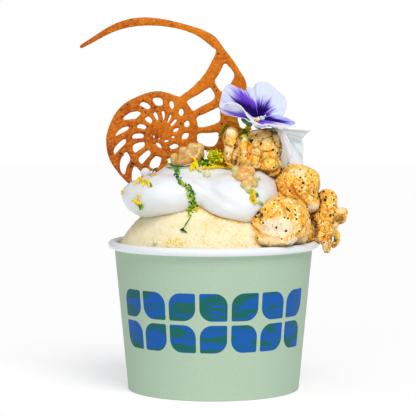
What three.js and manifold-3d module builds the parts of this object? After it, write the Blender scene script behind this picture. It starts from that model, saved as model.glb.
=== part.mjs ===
// A paper cup of lemon sorbet under a dollop of meringue cream, dressed with a lace tuile in the shape
// of a nautilus shell, four glazed popcorn pieces, two viola blossoms and two heaps of citrus pearls.
// Millimetres, +Z up. The origin is on the table, on the cup's axis. The served side faces -Y.
import * as THREE from "three";
import { mergeVertices } from "three/addons/utils/BufferGeometryUtils.js";
import Module from "manifold-3d";

const wasm = await Module();
wasm.setup();

const GAP = 0.3; // left between two pieces that touch
const rad = THREE.MathUtils.degToRad;

// ---------------------------------------------------------------- driving dimensions

// The cup: a 96 mm rolled rim, a wall that tapers to a 78 mm foot, and a base raised off the table.
const CUP = {
  height: 68,
  rimRadius: 48,
  rollRadius: 1.78,
  rollSteps: 7,
  footRadius: 39.1,
  neckRadius: 45.2, // the wall's outside, straight under the roll
  neckHeight: 64.7,
  paper: 0.5,
  hemHeight: 5.5, // the wall's edge, turned in and up round the base's skirt
  baseHeight: 6,
  sides: 40,
};

// The sorbet fills the cup and stands over the rim as a mound.
const SORBET = {
  shoulder: 63.6, // where it leaves the wall
  shoulderRadius: 44.1,
  mound: 64.8, // the foot of the mound
  moundRadius: 43.1,
  moundRings: [43.05, 42, 40, 36.5, 32, 26, 18, 9, 0],
  rise: 27,
};

// The tuile: a flat plate that stands across the cup, measured from the pole of its spiral.
const TUILE = { pole: new THREE.Vector3(-23.9, 8, 115.9), thickness: 1.8 };

// Radius of the tuile's outside at each angle, in degrees, from the tip of the arm inwards.
const OUTER_EDGE = [
  [132, 55.4], [111, 55.1], [93, 53.5], [66, 51.6], [53, 48.6], [39, 46.4], [29, 44.9], [0, 40.6],
  [-30, 35.9], [-60, 31.4], [-90, 28.6], [-118, 27.6], [-150, 26.6], [-173, 25.7], [-192, 24.2],
  [-211, 22.9], [-232, 21.1], [-264, 20.1], [-296, 19.3],
];
// Radius of the inner edge of the arm, back out to its tip, and the two points that round the tip off.
const ARM_INNER_EDGE = [[57, 46.2], [74, 48.6], [94, 50], [112, 51.7], [131, 53.4]];
const ARM_TIP = [[132.9, 53.9], [133.3, 54.7]];
// The last wall of the shell runs from the disc to the arm along this curve.
const LAST_WALL = { from: [8.4, 17.5], bend: [22, 24.2], to: [25.3, 38.0] };

// The kite-shaped opening under the arm, between the last wall and the outside.
const KITE = [[26.6, 28], [24.1, 24.4], [27.6, 19.2], [30.4, 21.3], [33.7, 26.6], [32.8, 29.2], [29, 33.3]];

// Openings along each whorl, as knots that the openings between them follow:
// [number, angle, distance from the pole, length, width, slant of the length from the radius].
const WHORLS = [
  [
    [0, 9, 37.2, 7.8, 6, 10],
    [2, -42, 31.2, 4.2, 4.6, 0],
  ],
  [
    [0, 41.2, 24.4, 12.8, 6.2, -9],
    [2, -6.1, 21.2, 9, 6, 5],
    [5, -75, 20.3, 7, 4, 25],
    [8, -142.7, 21.4, 10.1, 3.4, 38],
    [10, -185.6, 18, 6.9, 2, 35],
    [11, -212.4, 16.1, 8.1, 2.9, 47],
    [12, -240.3, 15.4, 5.1, 2.6, 36],
    [13, -264.1, 15.2, 3.5, 4, 12],
    [14, -288.9, 14.7, 3.6, 1.9, 15],
    [16, -336.7, 12.6, 3.1, 2.6, 36],
    [18, -404.5, 7.8, 4.4, 1.9, 60],
  ],
  [
    [0, -79, 12.4, 4.2, 3.4, -22],
    [1, -102.1, 12.7, 5, 3.5, -22],
    [3, -152.9, 12.1, 5.7, 2.8, 3],
    [5, -200.9, 9.8, 3.7, 1.7, 8],
    [6, -228.6, 9.1, 3.2, 2, 11],
    [8, -275, 9.1, 4, 1.1, 10],
    [10, -315.4, 7.9, 3.8, 1, 1],
    [12, -372.5, 5.4, 1.6, 0.9, 24],
    [13, -414.3, 3.6, 2, 0.8, 57],
    [14, -465.3, 5.1, 3.3, 1.5, 66],
  ],
];

const LARGE_OPENING = 24; // length times width, past which an opening is squarer, with more corners

// Rounded lumps that melt into each other: [x, y, z, half width, half depth, half height]. A body is
// drawn round its centre, with more faces the greater its detail.
const CREAM = {
  centre: [-5, -2, 90],
  detail: 5,
  melt: 5,
  lobes: [
    [-18.5, -12, 89, 20.5, 18, 11.3],
    [-30, -5, 87.5, 11.2, 14, 9.6],
    [9, -15.5, 87.4, 18, 15, 11.6],
    [15, -13.5, 86.5, 13, 13.5, 9.5],
    [-10, -3, 95.8, 15, 12.5, 9.4],
    [20, -5, 91, 9, 11, 8.5],
    [-9, 13, 91, 22, 14.5, 10.5],
    [12, 12, 90, 17, 13, 10.5],
  ],
};

const POPCORN = {
  popcorn_top: {
    centre: [19, -4.5, 109],
    detail: 4,
    melt: 1.2,
    lobes: [
      [22, -4.5, 109.4, 9.6, 9.5, 9.4],
      [14.2, -6.5, 106, 6.8, 7.2, 9],
      [9.4, -7.5, 104, 4.4, 5.6, 6.4],
      [8, -8.5, 113.8, 3.4, 3.6, 5.6],
      [14.5, -8, 112.4, 4, 4.6, 6],
      [18.5, -3, 101.6, 8.6, 7.6, 4.2],
      [26.6, -2.5, 114, 6, 6.4, 5.2],
      [20, 1, 112, 8, 6.4, 7],
    ],
  },
  popcorn_back: {
    centre: [37.6, -4.5, 92.3],
    detail: 4,
    melt: 1.6,
    lobes: [
      [37.4, -5, 93.2, 10.2, 9.6, 9.4],
      [33, -6, 89, 6, 6.4, 6.2],
      [42.4, -5.5, 86.8, 5, 5.6, 5.6],
      [40, 0, 92, 8, 8, 7.6],
      [42.4, -7, 95.4, 5.6, 6, 5.4],
    ],
  },
  popcorn_front: {
    centre: [29.5, -24, 78.4],
    detail: 4,
    melt: 1.4,
    lobes: [
      [30.2, -23.6, 80, 12.6, 11.2, 10.8],
      [22.2, -25.5, 75, 5.6, 6.6, 5.4],
      [27.5, -28, 70.4, 8.6, 7, 3.9],
      [37.6, -23, 75.6, 6, 7, 7.6],
      [30, -16, 78, 9.6, 8, 8.6],
    ],
  },
  popcorn_right: {
    centre: [49.4, -3, 79],
    detail: 4,
    melt: 1.3,
    lobes: [
      [51.8, -2, 87, 4.4, 4.6, 4.2],
      [50.4, -2.6, 80.8, 5.4, 5.8, 6.2],
      [58.5, -3, 80.4, 2.5, 2.6, 2.5],
      [55.4, -2.6, 80.6, 2.4, 1.9, 1.8],
      [47.2, -2, 74.4, 5, 6, 4.8],
      [50.8, -4.4, 71.8, 3, 3.4, 4.4],
      [51.2, -6, 66.4, 2.2, 2.4, 4],
      [54.8, -1.4, 71.2, 2.6, 2.8, 3.4],
    ],
  },
};

const PEARL_HEAPS = {
  pearls_top: {
    centre: [-11.6, -4.5, 106],
    detail: 3,
    melt: 1.6,
    lobes: [
      [-14.1, -4, 108, 2.1, 2, 2],
      [-9.2, -3.4, 109.6, 2.3, 2.2, 2.1],
      [-6.6, -3.6, 108.4, 2.2, 2.2, 2.1],
      [-11.6, -6, 106, 2.2, 2.2, 2.2],
      [-16.6, -6, 104.2, 2.2, 2.2, 2],
      [-13.2, -7, 103.8, 2.2, 2, 2.1],
      [-8, -6.6, 105, 2.3, 2, 2.3],
      [-18.2, -4.6, 105.4, 1.5, 1.5, 1.6],
      [-11.4, -3.6, 103, 6.4, 3, 3],
    ],
  },
  pearls_front: {
    centre: [14, -19, 97.6],
    detail: 3,
    melt: 1.6,
    lobes: [
      [10.6, -17, 100.8, 2.2, 2.1, 2.2],
      [15.2, -16.4, 100.8, 2.2, 2.1, 2.1],
      [11.6, -21.6, 98.4, 2.1, 2.4, 2.1],
      [16, -21, 98.2, 2.2, 2.2, 2.2],
      [18, -25, 95.4, 1.9, 2, 2],
      [15.6, -26.4, 94.4, 1.9, 1.8, 1.9],
      [14, -20, 98, 3.6, 4, 3],
    ],
  },
};

// Petals spread like a fan from the throat: where the middle points, which way the open face looks,
// their length, how far the fan opens to each side, and how much the tip bends towards the face.
const petal = (along, facing, length, spread, bend) => ({ along, facing, length, spread, bend });
const VIOLAS = {
  viola_front: {
    throat: [22.2, -9.5, 123.6],
    calyx: [20.6, -6.5, 120.8, 3, 3, 3.4],
    petals: [
      petal([0.2, 0.34, 0.92], [0, -0.94, 0.35], 17, 46, 1.2),
      petal([-0.86, 0.2, 0.46], [0.2, -0.8, 0.56], 20.4, 33, 1.4),
      petal([-0.97, -0.12, 0.1], [0, -0.45, 0.9], 19.2, 24, 3.6),
      petal([0.98, -0.1, -0.05], [0.1, -0.4, 0.9], 16.2, 26, 1),
      petal([0.16, -0.95, -0.06], [0, -0.1, 1], 9.4, 50, 0.8),
    ],
  },
  viola_back: {
    throat: [32.4, 5, 118.8],
    calyx: [29.6, 2.6, 117.2, 3, 3, 3],
    petals: [
      petal([0.96, 0, -0.14], [0.1, -0.75, 0.6], 12.6, 17, 0.4),
      petal([0.22, 0.12, -0.96], [0.4, -0.9, 0.1], 18.6, 20, 0.6),
      petal([0.02, -0.2, -0.97], [0.1, -0.98, 0], 16.6, 20, 0.8),
      petal([0.4, 0.9, -0.1], [0.2, 0.2, 0.95], 13, 40, 0.8),
    ],
  },
};
const PETAL_THICKNESS = 0.5;
const THROAT_RADIUS = 1.9;

// ---------------------------------------------------------------- shared helpers

/** A closed geometry as a solid that can be joined and cut. */
function solidOf(geometry) {
  const plain = new THREE.BufferGeometry().setAttribute("position", geometry.getAttribute("position"));
  if (geometry.index) plain.setIndex(geometry.index);
  const merged = mergeVertices(plain, 1e-4);
  const corners = Array.from(merged.index.array);
  const faces = [];
  for (let i = 0; i < corners.length; i += 3) {
    const [a, b, c] = corners.slice(i, i + 3);
    if (a !== b && b !== c && c !== a) faces.push(a, b, c);
  }
  const build = (triVerts) =>
    new wasm.Manifold(
      new wasm.Mesh({
        numProp: 3,
        vertProperties: new Float32Array(merged.getAttribute("position").array),
        triVerts: new Uint32Array(triVerts),
      }),
    );
  const made = build(faces);
  return made.volume() > 0 ? made : build(faces.reverse());
}

/** The largest single body of a solid, which drops any sliver that a cut leaves. */
const largest = (solid) => solid.decompose().reduce((a, b) => (b.volume() > a.volume() ? b : a));

/** A solid as a named mesh with its own material. */
function meshOf(name, solid, color, roughness) {
  const { numProp, vertProperties, triVerts, numVert } = largest(solid).getMesh();
  const points = new Float32Array(numVert * 3);
  for (let i = 0; i < numVert; i++) {
    points.set(vertProperties.subarray(i * numProp, i * numProp + 3), i * 3);
  }
  const geometry = new THREE.BufferGeometry();
  geometry.setAttribute("position", new THREE.BufferAttribute(points, 3));
  geometry.setIndex(new THREE.BufferAttribute(triVerts, 1));
  geometry.computeVertexNormals();
  const material = new THREE.MeshStandardMaterial({ color, roughness, metalness: 0 });
  const mesh = new THREE.Mesh(geometry, material);
  mesh.name = name;
  return mesh;
}

/** Moves every vertex of a geometry to where the function sends it. */
function reshape(geometry, move) {
  const places = geometry.getAttribute("position");
  const point = new THREE.Vector3();
  for (let i = 0; i < places.count; i++) {
    point.fromBufferAttribute(places, i);
    const { x, y, z } = move(point);
    places.setXYZ(i, x, y, z);
  }
  return geometry;
}

/** A smooth curve through knots [at, value, ...], read at any place between the first and the last. */
function through(knots, at, column = 1) {
  const sign = Math.sign(knots.at(-1)[0] - knots[0][0]);
  let i = knots.findIndex((knot) => sign * (knot[0] - at) > 0) - 1;
  if (i < 0) i = knots.length - 2;
  const slope = (k) => {
    const [a, b] = [knots[Math.max(k - 1, 0)], knots[Math.min(k + 1, knots.length - 1)]];
    return (b[column] - a[column]) / (b[0] - a[0]);
  };
  const step = knots[i + 1][0] - knots[i][0];
  const t = (at - knots[i][0]) / step;
  const [p, q] = [knots[i][column], knots[i + 1][column]];
  return (
    p * (1 + 2 * t) * (1 - t) ** 2 +
    slope(i) * step * t * (1 - t) ** 2 +
    q * t * t * (3 - 2 * t) -
    slope(i + 1) * step * t * t * (1 - t)
  );
}

/** A profile of [radius, height] points spun round the Z axis. */
function spun(profile, sides) {
  const points = profile.map(([r, z]) => new THREE.Vector2(r, z));
  points.push(points[0].clone());
  return new THREE.LatheGeometry(points, sides).rotateX(Math.PI / 2);
}

// ---------------------------------------------------------------- the cup

/** Radius of the wall's outside at a height, less an inset from it. */
function wallRadius(z, inset = 0) {
  const taper = (CUP.neckRadius - CUP.footRadius) / CUP.neckHeight;
  return CUP.footRadius + taper * z - inset;
}

// Across the foot, from outside in: the wall, a gap, the base's skirt, a gap, and the turned-in hem.
const SKIRT_INSET = CUP.paper + GAP;
const HEM_INSET = SKIRT_INSET + CUP.paper + GAP;

/** The wall in one piece: the hem at the foot, the tapered side and the rolled rim. */
function cupWall() {
  const roll = { r: CUP.rimRadius - CUP.rollRadius, z: CUP.height - CUP.rollRadius };
  const start = Math.PI + Math.asin((roll.z - CUP.neckHeight) / CUP.rollRadius);
  const end = 3 * Math.PI;
  const profile = [[CUP.footRadius, 0]];
  for (let i = 0; i <= CUP.rollSteps; i++) {
    const a = start + ((end - start) * i) / CUP.rollSteps;
    profile.push([roll.r + CUP.rollRadius * Math.cos(a), roll.z + CUP.rollRadius * Math.sin(a)]);
  }
  const inside = CUP.neckHeight - CUP.paper;
  const hemInner = HEM_INSET + CUP.paper;
  profile.push(
    [wallRadius(inside, CUP.paper), inside],
    [wallRadius(CUP.paper, CUP.paper), CUP.paper],
    [wallRadius(CUP.paper, HEM_INSET), CUP.paper],
    [wallRadius(CUP.hemHeight, HEM_INSET), CUP.hemHeight],
    [wallRadius(CUP.hemHeight, hemInner), CUP.hemHeight],
    [wallRadius(0, hemInner), 0],
  );
  return solidOf(spun(profile, CUP.sides));
}

/** The base disc with its skirt turned down between the wall and the hem. */
function cupBase() {
  const top = CUP.baseHeight + CUP.paper;
  const low = CUP.paper + GAP;
  const skirtInner = SKIRT_INSET + CUP.paper;
  return solidOf(
    spun(
      [
        [0, CUP.baseHeight],
        [wallRadius(CUP.baseHeight, skirtInner), CUP.baseHeight],
        [wallRadius(low, skirtInner), low],
        [wallRadius(low, SKIRT_INSET), low],
        [wallRadius(top, SKIRT_INSET), top],
        [0, top],
      ],
      CUP.sides,
    ),
  );
}

/** The rolled rim alone, which the popcorn is cut round. */
function rimRoll(grow) {
  const torus = new THREE.TorusGeometry(CUP.rimRadius - CUP.rollRadius, CUP.rollRadius + grow, 10, CUP.sides);
  return solidOf(torus.translate(0, 0, CUP.height - CUP.rollRadius));
}

// ---------------------------------------------------------------- the sorbet

/** Height of the mound at a distance from the axis. */
const moundHeight = (r) =>
  SORBET.mound + SORBET.rise * Math.max(0, 1 - (r / SORBET.moundRadius) ** 2) ** 0.75;

/** The slow unevenness that the scoop leaves on the mound. */
const unevenness = (x, y) =>
  0.5 * Math.sin(x / 9 + 0.7) * Math.cos(y / 11 - 0.4) + 0.3 * Math.sin((x - y) / 6);

/** The whole sorbet: a fill down to the base, and the mound over it. */
function sorbet(grow) {
  const low = CUP.baseHeight + CUP.paper + GAP;
  const profile = [
    [0, low],
    [wallRadius(low, SKIRT_INSET), low],
    [wallRadius(SORBET.shoulder, SKIRT_INSET), SORBET.shoulder - 1],
    [SORBET.shoulderRadius, SORBET.shoulder],
  ];
  for (const r of SORBET.moundRings) profile.push([r, moundHeight(r)]);
  return solidOf(
    reshape(spun(profile, CUP.sides), (p) => {
      if (p.z < SORBET.mound) return p;
      const r = Math.hypot(p.x, p.y);
      const fade = THREE.MathUtils.smoothstep(SORBET.moundRadius - r, 0, 6);
      const wider = 1 + grow / Math.max(r, 1);
      p.set(p.x * wider, p.y * wider, p.z + fade * unevenness(p.x, p.y) + grow);
      return p;
    }),
  );
}

// ---------------------------------------------------------------- the tuile

const polar = (angle, radius) =>
  new THREE.Vector2(radius * Math.cos(rad(angle)), radius * Math.sin(rad(angle)));

/** The outside of the plate: round the shell from the arm's tip, up the last wall, and back along the arm. */
function tuileOutline(grow, outerSteps, armSteps) {
  const outline = [];
  const [tip, end] = [OUTER_EDGE[0][0], OUTER_EDGE.at(-1)[0]];
  for (let i = 0; i <= outerSteps; i++) {
    const angle = tip + ((end - tip) * i) / outerSteps;
    outline.push(polar(angle, through(OUTER_EDGE, angle) + grow));
  }
  const wall = new THREE.QuadraticBezierCurve(
    ...[LAST_WALL.from, LAST_WALL.bend, LAST_WALL.to].map((p) => new THREE.Vector2(...p)),
  );
  outline.push(...wall.getPoints(9).slice(1, -1));
  const [inner, outer] = [ARM_INNER_EDGE[0][0], ARM_INNER_EDGE.at(-1)[0]];
  for (let i = 0; i <= armSteps; i++) {
    const angle = inner + ((outer - inner) * i) / armSteps;
    outline.push(polar(angle, through(ARM_INNER_EDGE, angle) - grow));
  }
  for (const [angle, radius] of ARM_TIP) outline.push(polar(angle, radius));
  return outline;
}

/** One opening: a rounded bar along its slanted axis, wider on the side away from the pole. */
function opening([, angle, distance, length, width, slant]) {
  const centre = polar(angle, distance);
  const axis = polar(angle + slant, 1);
  const side = polar(angle + slant + 90, 1);
  const area = length * width;
  const count = area > LARGE_OPENING ? 12 : 6;
  const squareness = area > LARGE_OPENING ? 0.55 : 0.75;
  const points = [];
  for (let k = 0; k < count; k++) {
    const t = (2 * Math.PI * (k + 0.5)) / count;
    const bulge = (v) => Math.sign(v) * Math.abs(v) ** squareness;
    const a = (bulge(Math.cos(t)) * length) / 2;
    const point = centre.clone().addScaledVector(axis, a);
    const spread = point.length() / distance;
    points.push(point.addScaledVector(side, (bulge(Math.sin(t)) * width * spread) / 2));
  }
  return new THREE.Path(points);
}

/** Every opening of one whorl, at whole numbers between its first and last knots. */
function whorlOpenings(knots) {
  const openings = [];
  for (let n = knots[0][0]; n <= knots.at(-1)[0]; n++) {
    openings.push(opening([n, ...[1, 2, 3, 4, 5].map((column) => through(knots, n, column))]));
  }
  return openings;
}

/** A plate of the outline, upright across the cup at the pole. */
function plate(outline, holes, thickness) {
  const shape = new THREE.Shape(outline);
  shape.holes.push(...holes);
  const geometry = new THREE.ExtrudeGeometry(shape, { depth: thickness, bevelEnabled: false });
  geometry.translate(0, 0, -thickness / 2).rotateX(Math.PI / 2);
  return solidOf(geometry.translate(...TUILE.pole.toArray()));
}

/** The tuile with all its openings. */
function tuile() {
  const kite = new THREE.Path(KITE.map((p) => new THREE.Vector2(...p)));
  return plate(tuileOutline(0, 64, 14), [kite, ...WHORLS.flatMap(whorlOpenings)], TUILE.thickness);
}

/** The room that the tuile takes in what it stands in. Its coarser outside is grown to clear the plate. */
const tuileSlot = () => plate(tuileOutline(2 * GAP, 32, 2), [], TUILE.thickness + 2 * GAP);

// ---------------------------------------------------------------- lumps that melt together

/** Roughly the distance from a point to a lobe's surface, less than zero inside. */
function lobeDistance(p, [x, y, z, rx, ry, rz], grow) {
  const [a, b, c] = [rx + grow, ry + grow, rz + grow];
  const scaled = Math.hypot((p.x - x) / a, (p.y - y) / b, (p.z - z) / c);
  return (scaled - 1) * Math.min(a, b, c);
}

/** The distance to a whole body of lobes, with the creases between them filled by the melt. */
function bodyDistance(p, body, grow) {
  return body.lobes
    .map((lobe) => lobeDistance(p, lobe, grow))
    .reduce((a, b) => {
      const mix = Math.max(body.melt - Math.abs(a - b), 0) / body.melt;
      return Math.min(a, b) - (mix * mix * body.melt) / 4;
    });
}

/** A ball drawn in from outside along each of its rays until it meets the body. */
function lumpy(body, grow = 0) {
  const centre = new THREE.Vector3(...body.centre);
  const [reach, step, halvings] = [52, 0.4, 9];
  return solidOf(
    reshape(new THREE.IcosahedronGeometry(1, body.detail), (direction) => {
      direction.normalize();
      const at = (t) => centre.clone().addScaledVector(direction, t);
      let outside = reach;
      while (outside > step && bodyDistance(at(outside - step), body, grow) > 0) outside -= step;
      let inside = outside - step;
      for (let i = 0; i < halvings; i++) {
        const middle = (outside + inside) / 2;
        if (bodyDistance(at(middle), body, grow) > 0) outside = middle;
        else inside = middle;
      }
      return at(inside);
    }),
  );
}

// ---------------------------------------------------------------- the violas

/** One petal: a thin slab opened like a fan, cupped across and bent towards its face at the tip. */
function petalSolid(throat, { along, facing, length, spread, bend }) {
  const forward = new THREE.Vector3(...along).normalize();
  const side = new THREE.Vector3().crossVectors(forward, new THREE.Vector3(...facing)).normalize();
  const face = new THREE.Vector3().crossVectors(side, forward);
  const [root, cup, ripple] = [0.05, 0.07, 0.35];
  return solidOf(
    reshape(new THREE.BoxGeometry(2, 1, 1, 4, 3, 1), ({ x: across, y, z: layer }) => {
      const out = root + (1 - root) * (y + 0.5);
      const turn = rad(spread) * across;
      const reach = length * out * (1 - 0.1 * across ** 4);
      const lift =
        bend * out ** 2 +
        cup * length * out * across ** 2 +
        ripple * out ** 3 * Math.sin(4 * across + length) +
        layer * PETAL_THICKNESS;
      return new THREE.Vector3(...throat)
        .addScaledVector(forward, reach * Math.cos(turn))
        .addScaledVector(side, reach * Math.sin(turn))
        .addScaledVector(face, lift);
    }),
  );
}

/** A blossom: its petals, joined at the throat, over the green calyx that it sits on. */
function viola({ throat, calyx: [x, y, z, ...halves], petals }) {
  const heart = solidOf(new THREE.IcosahedronGeometry(THROAT_RADIUS, 1).translate(...throat));
  const cup = solidOf(new THREE.IcosahedronGeometry(1, 1).scale(...halves).translate(x, y, z));
  return petals
    .map((one) => petalSolid(throat, one))
    .reduce((joined, one) => joined.add(one), heart.add(cup));
}

// ---------------------------------------------------------------- fitting the pieces together

/** A solid less every one of the others. */
const without = (solid, ...others) => others.reduce((left, other) => left.subtract(other), solid);

const mound = sorbet(GAP);
const rim = rimRoll(GAP);
const popcornRoom = Object.fromEntries(
  Object.entries(POPCORN).map(([name, body]) => [name, lumpy(body, GAP)]),
);
const { popcorn_top: topRoom, popcorn_back: backRoom, popcorn_front: frontRoom } = popcornRoom;
const creamRoom = lumpy(CREAM, GAP);

const group = new THREE.Group();
const add = (...parts) => group.add(meshOf(...parts));

add("cup_wall", cupWall(), 0xafc8ae, 0.6);
add("cup_base", cupBase(), 0xf4f4f2, 0.6);
add("sorbet", without(sorbet(0), tuileSlot()), 0xf8e9bf, 0.8);
add("tuile", tuile(), 0xc4691c, 0.6);
add("popcorn_top", without(lumpy(POPCORN.popcorn_top), mound), 0xe8b566, 0.6);
add("popcorn_back", without(lumpy(POPCORN.popcorn_back), mound, rim, topRoom), 0xedc27a, 0.6);
add("popcorn_front", without(lumpy(POPCORN.popcorn_front), mound, rim, topRoom, backRoom), 0xf0cc94, 0.6);
add("popcorn_right", without(lumpy(POPCORN.popcorn_right), mound, rim, backRoom, frontRoom), 0xd09040, 0.6);
add("cream", without(lumpy(CREAM), mound, tuileSlot(), ...Object.values(popcornRoom)), 0xf6f8fa, 0.3);
add("pearls_top", without(lumpy(PEARL_HEAPS.pearls_top), creamRoom, tuileSlot(), topRoom), 0xd9b776, 0.2);
add("pearls_front", without(lumpy(PEARL_HEAPS.pearls_front), creamRoom, topRoom), 0xe6bd8a, 0.2);
add("viola_front", without(viola(VIOLAS.viola_front), topRoom), 0xa98fd8, 0.6);
add("viola_back", without(viola(VIOLAS.viola_back), topRoom, backRoom), 0xd7e0ea, 0.6);

export default group;
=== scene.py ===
"""A paper cup of lemon sorbet under meringue cream, with a lace tuile, glazed popcorn, violas and pearls.

Lengths are millimetres in the frame of the CAD model, and become metres where a mesh is made. Garnish is
placed by what the camera sees: a place in its square picture is met by the surface that lies behind it.
"""

import itertools
import logging
import math
from collections.abc import Callable
from dataclasses import dataclass
from enum import Enum

import bmesh
import bpy
import numpy as np
from mathutils import Matrix, Vector
from mathutils.bvhtree import BVHTree


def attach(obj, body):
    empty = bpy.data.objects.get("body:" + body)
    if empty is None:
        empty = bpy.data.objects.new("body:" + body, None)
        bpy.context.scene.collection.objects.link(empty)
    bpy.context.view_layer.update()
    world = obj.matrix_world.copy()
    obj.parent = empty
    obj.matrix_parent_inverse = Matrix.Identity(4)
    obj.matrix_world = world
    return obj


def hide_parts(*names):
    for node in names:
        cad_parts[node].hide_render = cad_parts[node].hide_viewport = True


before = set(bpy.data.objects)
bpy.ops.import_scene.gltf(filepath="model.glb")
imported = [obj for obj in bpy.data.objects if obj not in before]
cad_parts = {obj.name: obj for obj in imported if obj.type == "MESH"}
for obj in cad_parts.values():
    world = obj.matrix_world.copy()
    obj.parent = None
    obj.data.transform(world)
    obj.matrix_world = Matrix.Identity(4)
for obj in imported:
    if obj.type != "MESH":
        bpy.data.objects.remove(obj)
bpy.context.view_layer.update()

MM = 0.001
BODY = "root"
Array = np.ndarray
Distance = Callable[[Array], Array]
Place = tuple[float, float]
Triple = tuple[float, float, float]
Colour = tuple[float, float, float, float]
Mesh = bpy.types.Mesh
Piece = bpy.types.Object
Socket = bpy.types.NodeSocket
Sockets = bpy.types.bpy_prop_collection
Tree = bpy.types.NodeTree
log = logging.getLogger("sorbet_cup")


# ---------------------------------------------------------------- sums on arrays of points


def srgb(red: int, green: int, blue: int) -> Colour:
    """A display colour, 0 to 255, as the linear colour that a shader takes."""
    linear = [((c / 255 + 0.055) / 1.055) ** 2.4 if c > 10 else c / 3294.6 for c in (red, green, blue)]
    return (*linear, 1.0)


def smooth(low: float, high: float, value: Array | float) -> Array | float:
    """Rises smoothly from 0 to 1 while value goes from low to high."""
    t = np.clip((value - low) / (high - low), 0, 1)
    return t * t * (3 - 2 * t)


def unit(vectors: Array) -> Array:
    """Vectors at length 1."""
    return vectors / np.maximum(np.linalg.norm(vectors, axis=-1, keepdims=True), 1e-9)


def melt(first: Array, second: Array, reach: float) -> Array:
    """The lesser of two distances, with the crease between them filled over the reach."""
    mix = np.maximum(reach - np.abs(first - second), 0) / reach
    return np.minimum(first, second) - mix * mix * reach / 4


def lattice(cells: Array, seed: int) -> Array:
    """A fixed number from 0 to 1 for each whole-numbered cell.

    Args:
        cells: The cells.
        seed: Which numbers.

    Returns:
        The numbers.
    """
    x, y, z = (cells[..., i].astype(np.int64) for i in range(3))
    mixed = (x * 374761393 + y * 668265263 + z * 1442695041 + seed * 1274126177) & 0xFFFFFFFF
    mixed = ((mixed ^ (mixed >> 13)) * 1274126177) & 0xFFFFFFFF
    return (mixed ^ (mixed >> 16)) / 0xFFFFFFFF


def noise(points: Array, size: float, seed: int = 0, octaves: int = 1) -> Array:
    """Smooth noise from -1 to 1.

    Args:
        points: Places, in mm.
        size: Width of the largest features, in mm.
        seed: Which noise.
        octaves: How many times finer features are added, each half as wide and half as strong.

    Returns:
        One number for each place.
    """
    total = np.zeros(points.shape[:-1])
    for octave in range(octaves):
        scaled = points / size * 2**octave
        base = np.floor(scaled)
        t = scaled - base
        t = t * t * t * (t * (t * 6 - 15) + 10)
        for corner in itertools.product((0, 1), repeat=3):
            share = np.prod(np.where(corner, t, 1 - t), axis=-1)
            total += share * (2 * lattice(base + corner, seed + octave) - 1) / 2**octave
    return total / (2 - 2 ** (1 - octaves))


@dataclass(frozen=True)
class Layer:
    """One layer of unevenness: its depth and the width of its features in mm, and which noise makes it."""

    depth: float
    width: float
    seed: int
    octaves: int = 1
    stretch: Triple = (1, 1, 1)


def relief(points: Array, layers: tuple[Layer, ...]) -> Array:
    """Layers of unevenness on each other.

    Args:
        points: Places, in mm.
        layers: The layers.

    Returns:
        One height for each place, in mm.
    """
    rows = [(row.depth, points * row.stretch, row.width, row.seed, row.octaves) for row in layers]
    return sum(depth * noise(*row) for depth, *row in rows)


def plates(points: Array, size: float, seed: int) -> tuple[Array, Array]:
    """Cells round scattered middles, as a surface cracks into plates.

    Args:
        points: Places, in mm.
        size: Usual width of a plate, in mm.
        seed: Which plates.

    Returns:
        For each place, the distance to the nearest middle, and how much further the next one is, both as
        shares of the size.
    """
    scaled = points / size
    base = np.floor(scaled)
    near = np.full(points.shape[:-1], 9.0)
    second = near.copy()
    for offset in itertools.product((-1, 0, 1), repeat=3):
        cell = base + offset
        middle = cell + np.stack([lattice(cell, seed + i) for i in range(3)], -1)
        away = np.linalg.norm(middle - scaled, axis=-1)
        second = np.minimum(second, np.maximum(near, away))
        near = np.minimum(near, away)
    return near, second - near


def along(path: Array | tuple[tuple[float, ...], ...], count: int) -> Array:
    """Evenly spaced points on a smooth open curve through the points of a path.

    Args:
        path: The path's points.
        count: How many points to give.

    Returns:
        The points.
    """
    path = np.asarray(path, float)
    ends = np.vstack([2 * path[0] - path[1], path, 2 * path[-1] - path[-2]])
    fine = []
    for a, b, c, d in zip(ends, ends[1:], ends[2:], ends[3:]):
        t = np.linspace(0, 1, 16, endpoint=False)[:, None]
        fine.append(
            0.5 * (2 * b + (c - a) * t + (2 * a - 5 * b + 4 * c - d) * t**2 + (3 * b - a - 3 * c + d) * t**3)
        )
    fine = np.vstack([*fine, path[-1:]])
    length = np.concatenate([[0], np.cumsum(np.linalg.norm(np.diff(fine, axis=0), axis=1))])
    wanted = np.linspace(0, length[-1], count)
    return np.stack([np.interp(wanted, length, fine[:, i]) for i in range(fine.shape[1])], -1)


def path_distance(points: Array, path: Array) -> Array:
    """How far each point is from a path of straight stretches.

    Args:
        points: Places, in mm.
        path: The path's corners.

    Returns:
        One distance for each place.
    """
    best = np.full(points.shape[:-1], 1e9)
    for a, b in zip(path, path[1:]):
        run = b - a
        t = np.clip(((points - a) @ run) / max(run @ run, 1e-12), 0, 1)
        best = np.minimum(best, np.linalg.norm(points - a - t[..., None] * run, axis=-1))
    return best


# ---------------------------------------------------------------- meshes


def grid_faces(rows: int, columns: int, closed: bool = False) -> Array:
    """Four-sided faces of a grid of points stored row by row.

    Args:
        rows: Number of rows.
        columns: Points in each row.
        closed: Whether the last row joins the first.

    Returns:
        The faces' corners.
    """
    row = np.arange(rows if closed else rows - 1)
    following = (row + 1) % rows
    column = np.arange(columns - 1)
    a = (row[:, None] * columns + column).ravel()
    b = (following[:, None] * columns + column).ravel()
    return np.stack([a, b, b + 1, a + 1], -1)


def border(rows: int, columns: int) -> Array:
    """The points round the edge of a grid stored row by row, in order.

    Args:
        rows: Number of rows.
        columns: Points in each row.

    Returns:
        The points' numbers.
    """
    index = np.arange(rows * columns).reshape(rows, columns)
    return np.concatenate([index[:, 0], index[-1, 1:], index[-2::-1, -1], index[0, -2:0:-1]])


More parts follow.
